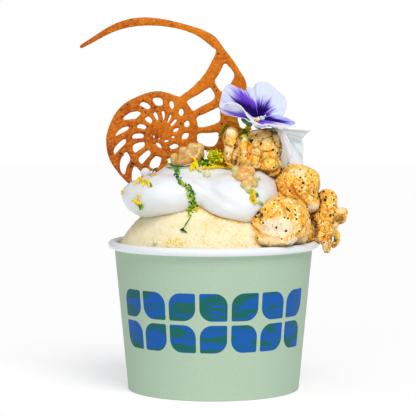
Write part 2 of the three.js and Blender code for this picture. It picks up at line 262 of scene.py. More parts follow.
def make_mesh(name: str, points: Array, faces: list[Array]) -> Mesh:
    """A mesh in metres from points in millimetres.

    Args:
        name: The mesh's name.
        points: Its vertices.
        faces: Arrays of faces, each of one number of corners.

    Returns:
        The mesh, shaded smooth.
    """
    mesh = bpy.data.meshes.new(name)
    corners = np.concatenate([f.ravel() for f in faces]).astype(np.int32)
    sizes = np.concatenate([np.full(len(f), f.shape[1]) for f in faces])
    mesh.vertices.add(len(points))
    mesh.vertices.foreach_set("co", (points * MM).astype(np.float32).ravel())
    mesh.loops.add(len(corners))
    mesh.loops.foreach_set("vertex_index", corners)
    mesh.polygons.add(len(sizes))
    mesh.polygons.foreach_set("loop_start", np.concatenate([[0], np.cumsum(sizes)[:-1]]).astype(np.int32))
    mesh.polygons.foreach_set("use_smooth", np.ones(len(sizes), bool))
    mesh.update(calc_edges=True)
    mesh.validate()
    return mesh


def mark(mesh: Mesh, name: str, values: Array) -> None:
    """Stores one number on every vertex, for a finish to read."""
    mesh.attributes.new(name, "FLOAT", "POINT").data.foreach_set("value", values.astype(np.float32))


def lay_uv(mesh: Mesh, name: str, uv: Array) -> None:
    """Gives a mesh a UV map from one pair of numbers for every corner of its faces."""
    mesh.uv_layers.new(name=name).data.foreach_set("uv", uv.astype(np.float32).ravel())


def add_piece(name: str, mesh: Mesh, stands_for: tuple[str, ...] = ()) -> Piece:
    """Puts a finished mesh into the scene as one piece of the cup of sorbet.

    Args:
        name: The piece's name.
        mesh: Its mesh, with its materials.
        stands_for: The CAD nodes that it is shown in place of.

    Returns:
        The piece.
    """
    piece = bpy.data.objects.new(name, mesh)
    bpy.context.scene.collection.objects.link(piece)
    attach(piece, BODY)
    if stands_for:
        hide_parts(*stands_for)
    return piece


@dataclass(frozen=True)
class SurfaceNet:
    """Draws a closed surface where a field of distances is zero."""

    step: float
    polish: int = 1

    def draw(self, distance: Distance, low: Array, high: Array) -> tuple[Array, Array]:
        """Meshes the surface inside a box.

        Args:
            distance: Gives the distance of points to the surface, less than zero inside.
            low: The box's lowest corner.
            high: Its highest corner.

        Returns:
            The points and the four-sided faces.
        """
        axes = [np.arange(a - 2 * self.step, b + 3 * self.step, self.step) for a, b in zip(low, high)]
        places = np.stack(np.meshgrid(*axes, indexing="ij"), -1)
        values = distance(places.reshape(-1, 3)).reshape(places.shape[:3])
        inside = values < 0
        cells = np.array(values.shape) - 1
        total = np.zeros((*cells, 3), np.float32)
        count = np.zeros(cells, np.int8)
        edges = []
        for axis in range(3):
            lower = [slice(None)] * 3
            upper = [slice(None)] * 3
            lower[axis], upper[axis] = slice(None, -1), slice(1, None)
            a, b = values[tuple(lower)], values[tuple(upper)]
            start, crossed = inside[tuple(lower)], inside[tuple(lower)] != inside[tuple(upper)]
            at = np.argwhere(crossed)
            t = a[crossed] / (a[crossed] - b[crossed])
            spot = at.astype(np.float32)
            spot[:, axis] += t
            edges.append((axis, at, start[crossed]))
            u, v = [i for i in range(3) if i != axis]
            for du, dv in itertools.product((0, 1), repeat=2):
                cell = at.copy()
                cell[:, u] -= du
                cell[:, v] -= dv
                good = ((cell >= 0) & (cell < cells)).all(1)
                index = tuple(cell[good].T)
                np.add.at(total, index, spot[good])
                np.add.at(count, index, 1)
        active = count > 0
        number = np.full(cells, -1, np.int32)
        number[active] = np.arange(active.sum())
        points = total[active] / count[active][:, None] * self.step + np.array([a[0] for a in axes])
        faces = []
        for axis, at, begins_inside in edges:
            u, v = (axis + 1) % 3, (axis + 2) % 3
            ring = []
            for du, dv in ((0, 0), (1, 0), (1, 1), (0, 1)):
                cell = at.copy()
                cell[:, u] -= du
                cell[:, v] -= dv
                ring.append(number[tuple(cell.T)])
            quad = np.stack(ring, -1)
            quad[~begins_inside] = quad[~begins_inside][:, ::-1]
            faces.append(quad)
        faces = np.vstack(faces)
        for _ in range(self.polish):
            points = self._settle(distance, points)
        return points, faces

    def _settle(self, distance: Distance, points: Array) -> Array:
        """Moves points onto the surface, by no more than half a step.

        Args:
            distance: The field of distances.
            points: The points.

        Returns:
            The moved points.
        """
        probe = 0.2 * self.step
        here = distance(points)
        slope = np.stack([distance(points + probe * np.eye(3)[i]) - here for i in range(3)], -1) / probe
        move = -here[:, None] * slope / np.maximum((slope**2).sum(-1, keepdims=True), 0.05)
        length = np.linalg.norm(move, axis=-1, keepdims=True)
        return points + move * np.minimum(1, 0.5 * self.step / np.maximum(length, 1e-9))


# ---------------------------------------------------------------- the camera


@dataclass(frozen=True)
class Eye:
    """The camera, in front of the cup, and what each place in its square picture shows."""

    distance: float = 833.0
    height: float = 137.2
    pitch: float = math.radians(3.752)
    focal: float = 1827.0
    picture: int = 416
    shift: float = 5.48
    sensor: float = 36.0
    nearest: float = 770.0
    furthest: float = 900.0
    stride: float = 0.25

    @property
    def origin(self) -> Array:
        """Where the camera stands."""
        return np.array([0, -self.distance, self.height])

    def ray(self, x: float, y: float) -> Array:
        """The direction of the view through a place in the picture.

        Args:
            x: The place, from the left.
            y: The place, from the top.

        Returns:
            The direction, at length 1.
        """
        across = (x - self.picture / 2 - self.shift) / self.focal
        up = (self.picture / 2 - y) / self.focal
        c, s = math.cos(self.pitch), math.sin(self.pitch)
        return unit(np.array([across, c + up * s, -s + up * c]))

    def at(self, x: float, y: float, depth: float) -> Array:
        """The point behind a place in the picture, on the upright plane at Y = depth."""
        ray = self.ray(x, y)
        return self.origin + ray * (depth + self.distance) / ray[1]

    def meet(self, distance: Distance, x: float, y: float) -> Array:
        """Where the view through a place in the picture first meets a body, or else passes closest to it.

        Args:
            distance: Distances to the body's surface.
            x: The place, from the left.
            y: The place, from the top.

        Returns:
            The point, in mm.
        """
        line = self.origin + self.ray(x, y) * np.arange(self.nearest, self.furthest, self.stride)[:, None]
        away = distance(line)
        inside = np.flatnonzero(away < 0)
        return line[inside[0] if len(inside) else int(np.argmin(away))]

    def make(self) -> Piece:
        """Adds the camera to the scene and looks through it.

        Returns:
            The camera.
        """
        data = bpy.data.cameras.new("camera")
        data.sensor_width = self.sensor
        data.lens = self.focal / self.picture * self.sensor
        data.shift_x = -self.shift / self.picture
        data.clip_end = 10
        camera = bpy.data.objects.new("camera", data)
        camera.location = self.origin * MM
        camera.rotation_euler = (math.pi / 2 - self.pitch, 0, 0)
        bpy.context.scene.collection.objects.link(camera)
        bpy.context.scene.camera = camera
        return camera


EYE = Eye()


# ---------------------------------------------------------------- node trees


class Value:
    """A number that varies in a node tree. Python's operators on it add Math nodes."""

    def __init__(self, graph: "Graph", socket: Socket) -> None:
        """Wraps one output socket."""
        self.graph = graph
        self.socket = socket

    def __add__(self, other: "Value | float") -> "Value":
        """This number and another, added."""
        return self.graph.math("ADD", self, other)

    __radd__ = __add__

    def __sub__(self, other: "Value | float") -> "Value":
        """This number less another."""
        return self.graph.math("SUBTRACT", self, other)

    def __rsub__(self, other: float) -> "Value":
        """Another number less this one."""
        return self.graph.math("SUBTRACT", other, self)

    def __mul__(self, other: "Value | float") -> "Value":
        """This number times another."""
        return self.graph.math("MULTIPLY", self, other)

    __rmul__ = __mul__

    def __truediv__(self, other: "Value | float") -> "Value":
        """This number divided by another."""
        return self.graph.math("DIVIDE", self, other)

    def __abs__(self) -> "Value":
        """This number without its sign."""
        return self.graph.math("ABSOLUTE", self)

    def floor(self) -> "Value":
        """The whole number below."""
        return self.graph.math("FLOOR", self)

    def least(self, other: "Value | float") -> "Value":
        """The lesser of this number and another."""
        return self.graph.math("MINIMUM", self, other)

    def most(self, other: "Value | float") -> "Value":
        """The greater of this number and another."""
        return self.graph.math("MAXIMUM", self, other)

    def rises(self, low: float, high: float) -> "Value":
        """Goes smoothly from 0 to 1 while this number goes from low to high.

        Args:
            low: Where the rise starts.
            high: Where it ends. If it is less than low, it is a fall.

        Returns:
            A number from 0 to 1.
        """
        settings = {"interpolation_type": "SMOOTHSTEP"}
        ends = (low, high, 0.0, 1.0) if low < high else (high, low, 1.0, 0.0)
        made = self.graph.node("ShaderNodeMapRange", settings, {0: self, **dict(enumerate(ends, 1))})
        return Value(self.graph, made.outputs[0])


class Graph:
    """Adds nodes to one shader or geometry tree."""

    def __init__(self, tree: Tree) -> None:
        """Works on a tree."""
        self.tree = tree

    def node(self, kind: str, settings: dict | None = None, inputs: dict | None = None) -> bpy.types.Node:
        """Adds one node.

        Args:
            kind: The node's type.
            settings: Its own settings, which are set first.
            inputs: Values or links for its sockets, by name or number. A node stands for its first output.

        Returns:
            The node.
        """
        made = self.tree.nodes.new(kind)
        for name, value in (settings or {}).items():
            setattr(made, name, value)
        for key, value in (inputs or {}).items():
            value = value.socket if isinstance(value, Value) else value
            value = value.outputs[0] if isinstance(value, bpy.types.Node) else value
            if isinstance(value, Socket):
                self.tree.links.new(value, made.inputs[key])
            else:
                made.inputs[key].default_value = value
        return made

    def math(self, operation: str, *operands: Value | float) -> Value:
        """A Math node on numbers."""
        made = self.node("ShaderNodeMath", {"operation": operation}, dict(enumerate(operands)))
        return Value(self, made.outputs[0])

    def blend(self, share: Value | float, first: Colour | Socket, second: Colour | Socket) -> Socket:
        """A colour between two others.

        Args:
            share: How much of the second, from 0 to 1.
            first: A colour or a socket.
            second: A colour or a socket.

        Returns:
            The colour's socket.
        """
        settings = {"data_type": "RGBA", "blend_type": "MIX", "clamp_factor": True}
        return self.node("ShaderNodeMix", settings, {0: share, 6: first, 7: second}).outputs[2]

    def place(self) -> Socket:
        """Object coordinates, which on every piece are metres in the frame of the CAD model."""
        return self.node("ShaderNodeTexCoord").outputs["Object"]

    def stretched(self, vector: Socket, scale: Triple) -> Socket:
        """A vector with each of its parts multiplied."""
        return self.node("ShaderNodeVectorMath", {"operation": "MULTIPLY"}, {0: vector, 1: scale}).outputs[0]

    def shifted(self, vector: Socket, by: Socket) -> Socket:
        """The sum of two vectors."""
        return self.node("ShaderNodeVectorMath", {"operation": "ADD"}, {0: vector, 1: by}).outputs[0]

    def parts(self, vector: Socket) -> list[Value]:
        """The three parts of a vector."""
        return [Value(self, o) for o in self.node("ShaderNodeSeparateXYZ", {}, {0: vector}).outputs]

    def noise(
        self,
        size: float,
        detail: float = 2.0,
        vector: Socket | None = None,
        rough: float = 0.5,
        warp: float = 0.0,
    ) -> Value:
        """Noise from 0 to 1, about 0.5 in the middle.

        Args:
            size: Width of its features, in mm, or in thousandths of the vector's unit.
            detail: How many finer layers it has.
            vector: Where it is read, if not at Object coordinates.
            rough: How strong the finer layers are.
            warp: How far it is distorted.

        Returns:
            The noise.
        """
        inputs = {"Scale": 1 / (size * MM), "Detail": detail, "Roughness": rough, "Distortion": warp}
        inputs["Vector"] = vector if vector is not None else self.place()
        return Value(self, self.node("ShaderNodeTexNoise", {}, inputs).outputs[0])

    def marked(self, name: str) -> Value:
        """A number that the mesh stores on its vertices."""
        return Value(self, self.node("ShaderNodeAttribute", {"attribute_name": name}).outputs["Fac"])

    def bump(self, height: Value, depth: float, strength: float = 1.0) -> Socket:
        """A normal for relief of that depth in mm."""
        inputs = {"Strength": strength, "Distance": depth * MM, "Height": height}
        return self.node("ShaderNodeBump", {}, inputs).outputs[0]


class Finish:
    """The surface of a piece: a subclass says what the shader's sockets take."""

    title = "finish"

    def sockets(self, graph: Graph) -> dict:
        """Values and links for the sockets of the shader."""
        return {}

    def material(self) -> bpy.types.Material:
        """The finish as a Blender material.

        Returns:
            The material.
        """
        made = bpy.data.materials.new(self.title)
        made.use_nodes = True
        made.node_tree.nodes.clear()
        graph = Graph(made.node_tree)
        shader = graph.node("ShaderNodeBsdfPrincipled", {}, self.sockets(graph))
        graph.node("ShaderNodeOutputMaterial", {}, {"Surface": shader})
        return made


@dataclass(frozen=True)
class WhiteBoard(Finish):
    """Plain white coated paper board."""

    title: str = "white_board"
    colour: Colour = srgb(238, 241, 245)

    def sockets(self, graph: Graph) -> dict:
        """White with a faint mottle of fibres.

        Args:
            graph: The material's nodes.

        Returns:
            Values and links for the shader's sockets.
        """
        mottle = graph.noise(3.0, 4)
        return {
            "Base Color": graph.blend(mottle.rises(0.3, 0.7) * 0.25, self.colour, srgb(226, 231, 236)),
            "Roughness": 0.38,
            "Coat Weight": 0.25,
            "Coat Roughness": 0.25,
            "Normal": graph.bump(graph.noise(0.5, 3), 0.03, 0.5),
        }


@dataclass(frozen=True)
class PrintedBoard(Finish):
    """Sage green coated board with two rows of printed leaf shapes, read from the wall's own UV map."""

    title: str = "sage_board"
    sage: Colour = srgb(178, 201, 176)
    sage_deep: Colour = srgb(166, 191, 167)
    blue: Colour = srgb(0, 88, 170)
    green: Colour = srgb(4, 98, 88)
    columns: int = 7
    rows: int = 2
    tile: float = 13.9
    tile_height: float = 14.1
    bottom: float = 20.7
    gap: float = 1.7
    round_corner: float = 5.6
    tight_corner: float = 0.9

    def leaves(self, graph: Graph, u: Value, v: Value) -> Value:
        """How far a place is inside the nearest leaf, in mm: less than zero between them.

        Args:
            graph: The material's nodes.
            u: The way round the cup, in mm.
            v: The height, in mm.

        Returns:
            The depth inside the leaf.
        """
        across = u / self.tile + self.columns / 2
        up = (v - self.bottom) / self.tile_height
        column, row = across.floor(), up.floor()
        turn = 1 - 2 * graph.math("MODULO", column + row, 2.0)
        x = (across - column - 0.5) * self.tile * turn
        y = (up - row - 0.5) * self.tile_height
        opposite = (x * y).rises(-0.01, 0.01)
        corner = opposite * (self.round_corner - self.tight_corner) + self.tight_corner
        ax = abs(x) - (self.tile - self.gap) / 2 + corner
        ay = abs(y) - (self.tile_height - self.gap) / 2 + corner
        outside = graph.math("SQRT", ax.most(0.0) * ax.most(0.0) + ay.most(0.0) * ay.most(0.0))
        leaf = corner - outside - ax.most(ay).least(0.0)
        sides = self.columns / 2 - abs(across - self.columns / 2)
        rows = self.rows / 2 - abs(up - self.rows / 2)
        return leaf.least(sides * 1000).least(rows * 1000)

    def sockets(self, graph: Graph) -> dict:
        """Green board, the print over it in fields of blue and green, and a fine paper grain.

        Args:
            graph: The material's nodes.

        Returns:
            Values and links for the shader's sockets.
        """
        uv = graph.node("ShaderNodeUVMap", {"uv_map": "wall"}).outputs[0]
        u, v, _ = graph.parts(graph.stretched(uv, (100.0, 100.0, 1.0)))
        fields = graph.noise(1000, 6, graph.stretched(uv, (4.2, 17.0, 1.0)), 0.55, 0.3)
        second = graph.noise(1000, 5, graph.stretched(uv, (5.5, 24.0, 3.0)), 0.6, 0.2)
        tone = graph.blend(fields.rises(0.505, 0.53), self.blue, self.green)
        tone = graph.blend(second.rises(0.55, 0.57) * 0.55, tone, srgb(0, 92, 120))
        mottle = graph.noise(0.7, 3)
        broad = graph.noise(14, 2)
        board = graph.blend(mottle.rises(0.3, 0.7) * 0.5 + broad * 0.3, self.sage, self.sage_deep)
        ink = self.leaves(graph, u, v).rises(-0.05, 0.12)
        return {
            "Base Color": graph.blend(ink, board, tone),
            "Roughness": 0.55 + mottle * 0.1,
            "Specular IOR Level": 0.25,
            "Coat Weight": 0.04,
            "Coat Roughness": 0.35,
            "Normal": graph.bump(graph.noise(0.45, 3), 0.03, 0.5),
        }


@dataclass(frozen=True)
class SorbetFinish(Finish):
    """Pale frozen lemon sorbet with small flecks of zest, and a tan stain with painted contact shade where
    the cream lies on it.
    """

    title: str = "lemon_sorbet"
    pale: Colour = srgb(248, 237, 202)
    warm: Colour = srgb(241, 218, 154)
    fleck: Colour = srgb(246, 190, 50)
    # Tan for the stain where things lie on the sorbet, partly painted contact shade.
    stain_and_shade: Colour = srgb(222, 166, 50)

    def sockets(self, graph: Graph) -> dict:
        """Ice grain, flecks in patches, and the stain with painted contact shade that the mesh marks under
        the cream.

        Args:
            graph: The material's nodes.

        Returns:
            Values and links for the shader's sockets.
        """
        grain = graph.noise(1.0, 4, None, 0.7)
        broad = graph.noise(9, 3)
        colour = graph.blend((grain * 1.0 + broad * 0.6).rises(0.66, 1.1), self.pale, self.warm)
        specks = graph.noise(0.9, 2).rises(0.6, 0.68) * graph.noise(7, 2).rises(0.46, 0.58)
        specks = specks * graph.marked("zesty")
        colour = graph.blend(specks * 0.85, colour, self.fleck)
        # Tan stain with painted contact shade, where the cream and popcorn lie on the mound.
        colour = graph.blend(graph.marked("stain_and_contact_shade") * 0.85, colour, self.stain_and_shade)
        return {
            "Base Color": colour,
            "Roughness": 0.55 + grain * 0.15,
            "Subsurface Weight": 0.15,
            "Subsurface Radius": (4.0, 3.0, 1.6),
            "Subsurface Scale": 0.0006,
            "Coat Weight": 0.15,
            "Coat Roughness": 0.4,
            "Normal": graph.bump(grain, 0.35, 1.0),
        }


@dataclass(frozen=True)
class CreamFinish(Finish):
    """Smooth glossy meringue cream."""

    title: str = "meringue_cream"
    colour: Colour = (0.82, 0.85, 0.88, 1)

    def sockets(self, graph: Graph) -> dict:
        """A cool white with soft gloss, faintly uneven, as whipping leaves it.

        Args:
            graph: The material's nodes.

        Returns:
            Values and links for the shader's sockets.
        """
        silk = graph.noise(6, 4)
        return {
            "Base Color": graph.blend(silk.rises(0.3, 0.7) * 0.25, self.colour, (0.8, 0.825, 0.845, 1)),
            "Roughness": 0.3 + silk * 0.12,
            "Subsurface Weight": 0.5,
            "Subsurface Radius": (2.0, 2.0, 2.2),
            "Subsurface Scale": 0.003,
            "Coat Weight": 0.3,
            "Coat Roughness": 0.14,
            "Normal": graph.bump(graph.noise(2.2, 4), 0.2, 0.6),
        }


@dataclass(frozen=True)
class TuileFinish(Finish):
    """Baked orange-brown lace biscuit with a fine glittering grain, the glitter painted as light specks."""

    title: str = "baked_tuile"
    amber: Colour = srgb(218, 120, 4)
    # Brown for the more baked fields, and for painted shade toward the bottom and left.
    brown: Colour = srgb(158, 62, 0)
    # Light for pale grains and painted glitter highlights.
    light: Colour = srgb(242, 164, 54)

    def sockets(self, graph: Graph) -> dict:
        """Amber and brown fields, light grains with painted glitter, darker where it baked most and with
        painted shade toward the bottom and left.

        Args:
            graph: The material's nodes.

        Returns:
            Values and links for the shader's sockets.
        """
        broad = graph.noise(7, 3)
        fine = graph.noise(1.5, 4, None, 0.6)
        grains_and_glints = graph.noise(0.9, 2)
        # The mesh's mark adds painted shade toward the bottom and left to the random baked fields.
        bake_and_shade = (broad * 0.6 + fine * 0.9 + graph.marked("bake_and_shade") * 0.3).rises(0.62, 1.12)
        colour = graph.blend(bake_and_shade, self.amber, self.brown)
        # Light specks: pale grains and painted glitter highlights.
        colour = graph.blend(grains_and_glints.rises(0.56, 0.72) * 0.75, colour, self.light)
        return {
            "Base Color": colour,
            "Roughness": 0.4 + fine * 0.3,
            "Specular IOR Level": 0.15,
            "Coat Weight": 0.08,
            "Coat Roughness": 0.3,
            "Normal": graph.bump(grains_and_glints * 0.6 + fine * 0.4, 0.3, 1.0),
        }


@dataclass(frozen=True)
class PopcornFinish(Finish):
    """Glazed popcorn: pale puffed plates, honey in the creases with painted crease shade, and dark brown
    where it caught and as painted shade under and between pieces.
    """

    title: str = "glazed_popcorn"
    pale: Colour = srgb(255, 241, 170)
    gold: Colour = srgb(255, 212, 78)
    # Honey for the glaze, and in the creases also painted crease shade.
    honey: Colour = srgb(236, 132, 2)
    # Dark brown for toasting and for painted shade.
    toast_and_shade: Colour = srgb(96, 38, 0)
    # Pale cream for pale patches and painted highlights.
    cream: Colour = srgb(246, 234, 216)

    def sockets(self, graph: Graph) -> dict:
        """Colours from the creases, toasting and pale patches that the mesh marks: creases and dark brown
        carry painted shade, pale patches painted highlight.

        Args:
            graph: The material's nodes.

        Returns:
            Values and links for the shader's sockets.
        """
        place = graph.place()
        warp = graph.node("ShaderNodeTexNoise", {}, {"Vector": place, "Scale": 300.0}).outputs["Color"]
        bent = graph.shifted(place, graph.stretched(warp, (0.002, 0.002, 0.002)))
        net = 1 - abs(graph.noise(3.0, 2, bent) - 0.5) * 2
        blotch = graph.noise(3.0, 3, bent, 0.55)
        fine = graph.noise(0.95, 2)
        crease, toast_and_shade, milk_and_highlight, tan = (graph.marked(n) for n in ("crease", "toast_and_shade", "milk_and_highlight", "tan"))
        colour = graph.blend((blotch + tan * 0.2).rises(0.38, 0.62), self.pale, self.gold)
        # Honey in the creases: glaze pooled there, with painted shade of the creases.
        glaze_and_crease_shade = net.rises(0.95, 0.99) * 0.3 + crease.rises(0.25, 0.95) * 0.8
        glaze_and_crease_shade = glaze_and_crease_shade + (blotch.rises(0.55, 0.7) * 0.35 + fine.rises(0.54, 0.61) * 0.9) * (0.45 + tan)
        colour = graph.blend((glaze_and_crease_shade * (1 - milk_and_highlight * 0.85)).least(0.95), colour, self.honey)
        # Pale cream patches: partly pale spots, partly painted highlight where the light falls.
        colour = graph.blend(milk_and_highlight * 0.8, colour, self.cream)
        # Dark brown: toasting, and painted shade under the piece, where it touches others and in fold gaps.
        colour = graph.blend(toast_and_shade, colour, self.toast_and_shade)
        return {
            "Base Color": colour,
            "Roughness": 0.36 + blotch * 0.2,
            "Specular IOR Level": 0.25,
            "Coat Weight": 0.3,
            "Coat Roughness": 0.16,
            "Normal": graph.bump(fine * 0.6 + net * 0.4, 0.3, 1.0),
        }


@dataclass(frozen=True)
class PearlFinish(Finish):
    """Wet translucent citrus pearls."""

    title: str = "citrus_pearl"
    light: Colour = srgb(238, 226, 180)
    deep: Colour = srgb(224, 150, 62)

    def sockets(self, graph: Graph) -> dict:
        """A colour for each pearl between the light and the deep one, with pale specks of painted highlight.

        Args:
            graph: The material's nodes.

        Returns:
            Values and links for the shader's sockets.
        """
        haze = graph.noise(1.2, 3)
        frost_and_glints = graph.noise(0.7, 2)
        tint = graph.marked("tint") + (haze - 0.5) * 0.7
        colour = graph.blend(tint, self.light, self.deep)
        return {
            # Pale specks: painted speckle highlights on the frosted surface.
            "Base Color": graph.blend(frost_and_glints.rises(0.54, 0.66) * 0.4, colour, srgb(250, 238, 210)),
            "Roughness": 0.22 + haze * 0.2,
            "Subsurface Weight": 1.0,
            "Subsurface Radius": (3.0, 2.4, 1.4),
            "Subsurface Scale": 0.002,
            "Transmission Weight": 0.1,
            "Coat Weight": 0.35,
            "Coat Roughness": 0.12,
            "Normal": graph.bump(haze * 0.6 + frost_and_glints * 0.4, 0.3, 1.0),
        }


@dataclass(frozen=True)
class PetalFinish(Finish):
    """A thin petal, coloured from its throat outwards, with veins along it."""

    title: str = "petal"
    tip: Colour = srgb(228, 229, 248)
    flush: Colour = srgb(118, 84, 206)
    heart: Colour = srgb(34, 4, 84)
    reach: float = 0.5
    heart_reach: float = 0.25
    rays: float = 9.0
    veins: float = 0.25
    lean: float = 0.5
    swell: float = 0.0
    heart_lean: float = 0.5
    heart_swell: float = 0.0

    def sockets(self, graph: Graph) -> dict:
        """Rays of the flush colour that end unevenly, a dark heart, and thin veins.

        Args:
            graph: The material's nodes.

        Returns:
            Values and links for the shader's sockets.
        """
        uv = graph.node("ShaderNodeUVMap", {"uv_map": "petal"}).outputs[0]
        u, v, _ = graph.parts(uv)
        rays = graph.noise(1000, 3, graph.stretched(uv, (self.rays, 0.9, 1.0)), 0.6)
        lines = graph.noise(1000, 2, graph.stretched(uv, (self.rays * 4, 1.4, 1.0)), 0.6, 0.4)
        ragged = v - (rays - 0.5) * 0.9 - (lines - 0.5) * 0.35
        reached = ragged - abs(u - self.lean).rises(0.45, 0.05) * self.swell
        soft = graph.noise(4, 3)
        colour = graph.blend((lines.rises(0.52, 0.66)) * self.veins, self.tip, self.flush)
        colour = graph.blend(soft.rises(0.4, 0.8) * 0.25, colour, srgb(214, 224, 244))
        colour = graph.blend(reached.rises(self.reach + 0.17, self.reach - 0.17), colour, self.flush)
        deep = ragged - abs(u - self.heart_lean).rises(0.45, 0.05) * self.heart_swell
        near = deep.rises(self.heart_reach + 0.16, self.heart_reach - 0.14)
        colour = graph.blend(near, colour, self.heart)
        return {
            "Base Color": colour,
            "Roughness": 0.65,
            "Specular IOR Level": 0.06,
            "Subsurface Weight": 0.15,
            "Subsurface Radius": (1.0, 1.0, 1.2),
            "Subsurface Scale": 0.0006,
            "Normal": graph.bump(lines * 0.7 + graph.noise(0.6, 2) * 0.3, 0.12, 0.6),
        }


@dataclass(frozen=True)
class PlainFinish(Finish):
    """A small garnish in two mixed shades."""

    title: str = "garnish"
    first: Colour = srgb(60, 130, 20)
    second: Colour = srgb(110, 165, 40)
    grain: float = 0.8
    rough: float = 0.45
    gloss: float = 0.25

    def sockets(self, graph: Graph) -> dict:
        """The two shades in small fields, over a slight relief.

        Args:
            graph: The material's nodes.

        Returns:
            Values and links for the shader's sockets.
        """
        fields = graph.noise(self.grain, 3)
        return {
            "Base Color": graph.blend(fields.rises(0.38, 0.62), self.first, self.second),
            "Roughness": self.rough,
            "Coat Weight": self.gloss,
            "Coat Roughness": 0.2,
            "Normal": graph.bump(fields, 0.08, 0.6),
        }


# ---------------------------------------------------------------- the paper cup


@dataclass
class PaperCup:
    """The paper wall with its rolled rim, seam and hem, and the raised base inside its foot."""

    height: float = 68.0
    rim_radius: float = 48.0
    roll_radius: float = 1.78
    foot_radius: float = 39.1
    neck_radius: float = 45.2
    neck_height: float = 64.7
    paper: float = 0.5
    hem_height: float = 5.5
    base_height: float = 6.0
    fit: float = 0.3
    seam_angle: float = math.radians(104)
    seam_step: float = 0.32
    seam_width: float = math.radians(9)
    sides: int = 320

    def radius(self, z: float, inset: float = 0.0) -> float:
        """Radius of the wall's outside at a height, less an inset."""
        return self.foot_radius + (self.neck_radius - self.foot_radius) * z / self.neck_height - inset

    def wall_profile(self) -> tuple[Array, int]:
        """The wall's outline from the foot up the outside, round the roll and down the inside to the hem.

        Returns:
            Points of radius and height, and how many of them lie on the printed outside.
        """
        outside = [(self.radius(0, 0.12), 0.0), (self.radius(0.12), 0.12)]
        outside += [(self.radius(z), z) for z in np.linspace(0.6, self.neck_height, 48)]
        roll = np.array([self.rim_radius - self.roll_radius, self.height - self.roll_radius])
        start = math.pi + math.asin((roll[1] - self.neck_height) / self.roll_radius)
        turn = np.linspace(start, 3 * math.pi, 30)
        bead = [tuple(roll + self.roll_radius * np.array([math.cos(a), math.sin(a)])) for a in turn]
        inset = self.paper + self.fit
        hem = inset + self.paper + self.fit
        heights = np.linspace(self.neck_height - 0.5, self.paper, 12)
        inside = [(self.radius(z, self.paper), z) for z in heights]
        turned = [
            (self.radius(self.paper, hem), self.paper),
            (self.radius(self.hem_height, hem), self.hem_height),
            (self.radius(self.hem_height, hem + self.paper), self.hem_height),
            (self.radius(0.15, hem + self.paper), 0.15),
            (self.radius(0, hem + self.paper - 0.15), 0.0),
        ]
        return np.array(outside + bead + inside + turned), len(outside)

    def base_profile(self) -> Array:
        """The base disc's outline from the middle below, round its skirt and back over the top.

        Returns:
            Points of radius and height.
        """
        top = self.base_height + self.paper
        low = self.paper + self.fit
        inset = self.paper + self.fit
        return np.array(
            [
                (0.0, self.base_height),
                (self.radius(self.base_height, inset + self.paper) - 1, self.base_height),
                (self.radius(self.base_height, inset + self.paper), self.base_height - 0.6),
                (self.radius(low, inset + self.paper), low),
                (self.radius(low, inset), low),
                (self.radius(top, inset), top - 0.5),
                (self.radius(top, inset) - 0.5, top),
                (0.0, top),
            ]
        )

    def angles(self) -> Array:
        """Angles round the cup, closer together at the seam's step.

        Returns:
            The angles, in order.
        """
        even = np.linspace(0, 2 * math.pi, self.sides, endpoint=False)
        step = self.seam_angle + np.array([-0.4, -0.15, 0.15, 0.4]) * math.radians(0.5)
        return np.sort(np.concatenate([even[np.abs(even - self.seam_angle) > 0.006], step]))

    def seam(self, angle: Array) -> Array:
        """How far the overlapping edge of the paper lifts the outside at each angle.

        Args:
            angle: Angles round the cup.

        Returns:
            The lift, in mm.
        """
        past = (angle - self.seam_angle) / self.seam_width
        lifted = smooth(-0.02, 0.02, past) * (1 - smooth(0.3, 1.0, past))
        return self.seam_step * lifted

    def build_wall(self) -> Piece:
        """Makes the wall, with the print on its outside and plain board everywhere else.

        Returns:
            The piece.
        """
        profile, printed = self.wall_profile()
        angles = self.angles()
        count = len(profile)
        share = np.zeros(count)
        share[:printed] = 1
        share[printed : printed + 30] = np.linspace(1, 0.4, 30)
        radius = profile[None, :, 0] + self.seam(angles)[:, None] * share[None, :]
        sway = 0.05 * np.sin(2 * angles + 0.6) + 0.04 * np.sin(5 * angles)
        radius = radius + sway[:, None] * smooth(50, 66, profile[None, :, 1])
        z = np.broadcast_to(profile[None, :, 1], radius.shape)
        points = np.stack([radius * np.cos(angles)[:, None], radius * np.sin(angles)[:, None], z], -1)
        columns = count + 1
        ring = np.concatenate([np.arange(count), [0]])
        grid = grid_faces(len(angles), columns, closed=True)
        row, column = grid // columns, grid % columns
        faces = row * count + ring[column]
        mesh = make_mesh("cup_wall_paper", points.reshape(-1, 3), [faces])
        front = -math.pi / 2
        around = np.concatenate([angles, angles[:1] + 2 * math.pi]) - front + math.pi
        wrapped = around % (2 * math.pi) - math.pi
        later = np.repeat(np.arange(len(angles)), columns - 1)
        index = np.stack([later, later + 1, later + 1, later], -1)
        turn = wrapped[index]
        first = turn[:, :1]
        turn = np.where(np.abs(turn - first) > 3, turn + 2 * math.pi * np.sign(first - turn), turn)
        scale = (self.foot_radius + self.neck_radius) / 2
        uv = np.stack([turn * scale / 100, profile[ring[column], 1] / 100], -1)
        lay_uv(mesh, "wall", uv)
        mesh.materials.append(PrintedBoard().material())
        mesh.materials.append(WhiteBoard().material())
        plain = (column.min(1) >= printed - 1).astype(np.int32)
        mesh.polygons.foreach_set("material_index", plain)
        return add_piece("cup_wall_paper", mesh, ("cup_wall",))

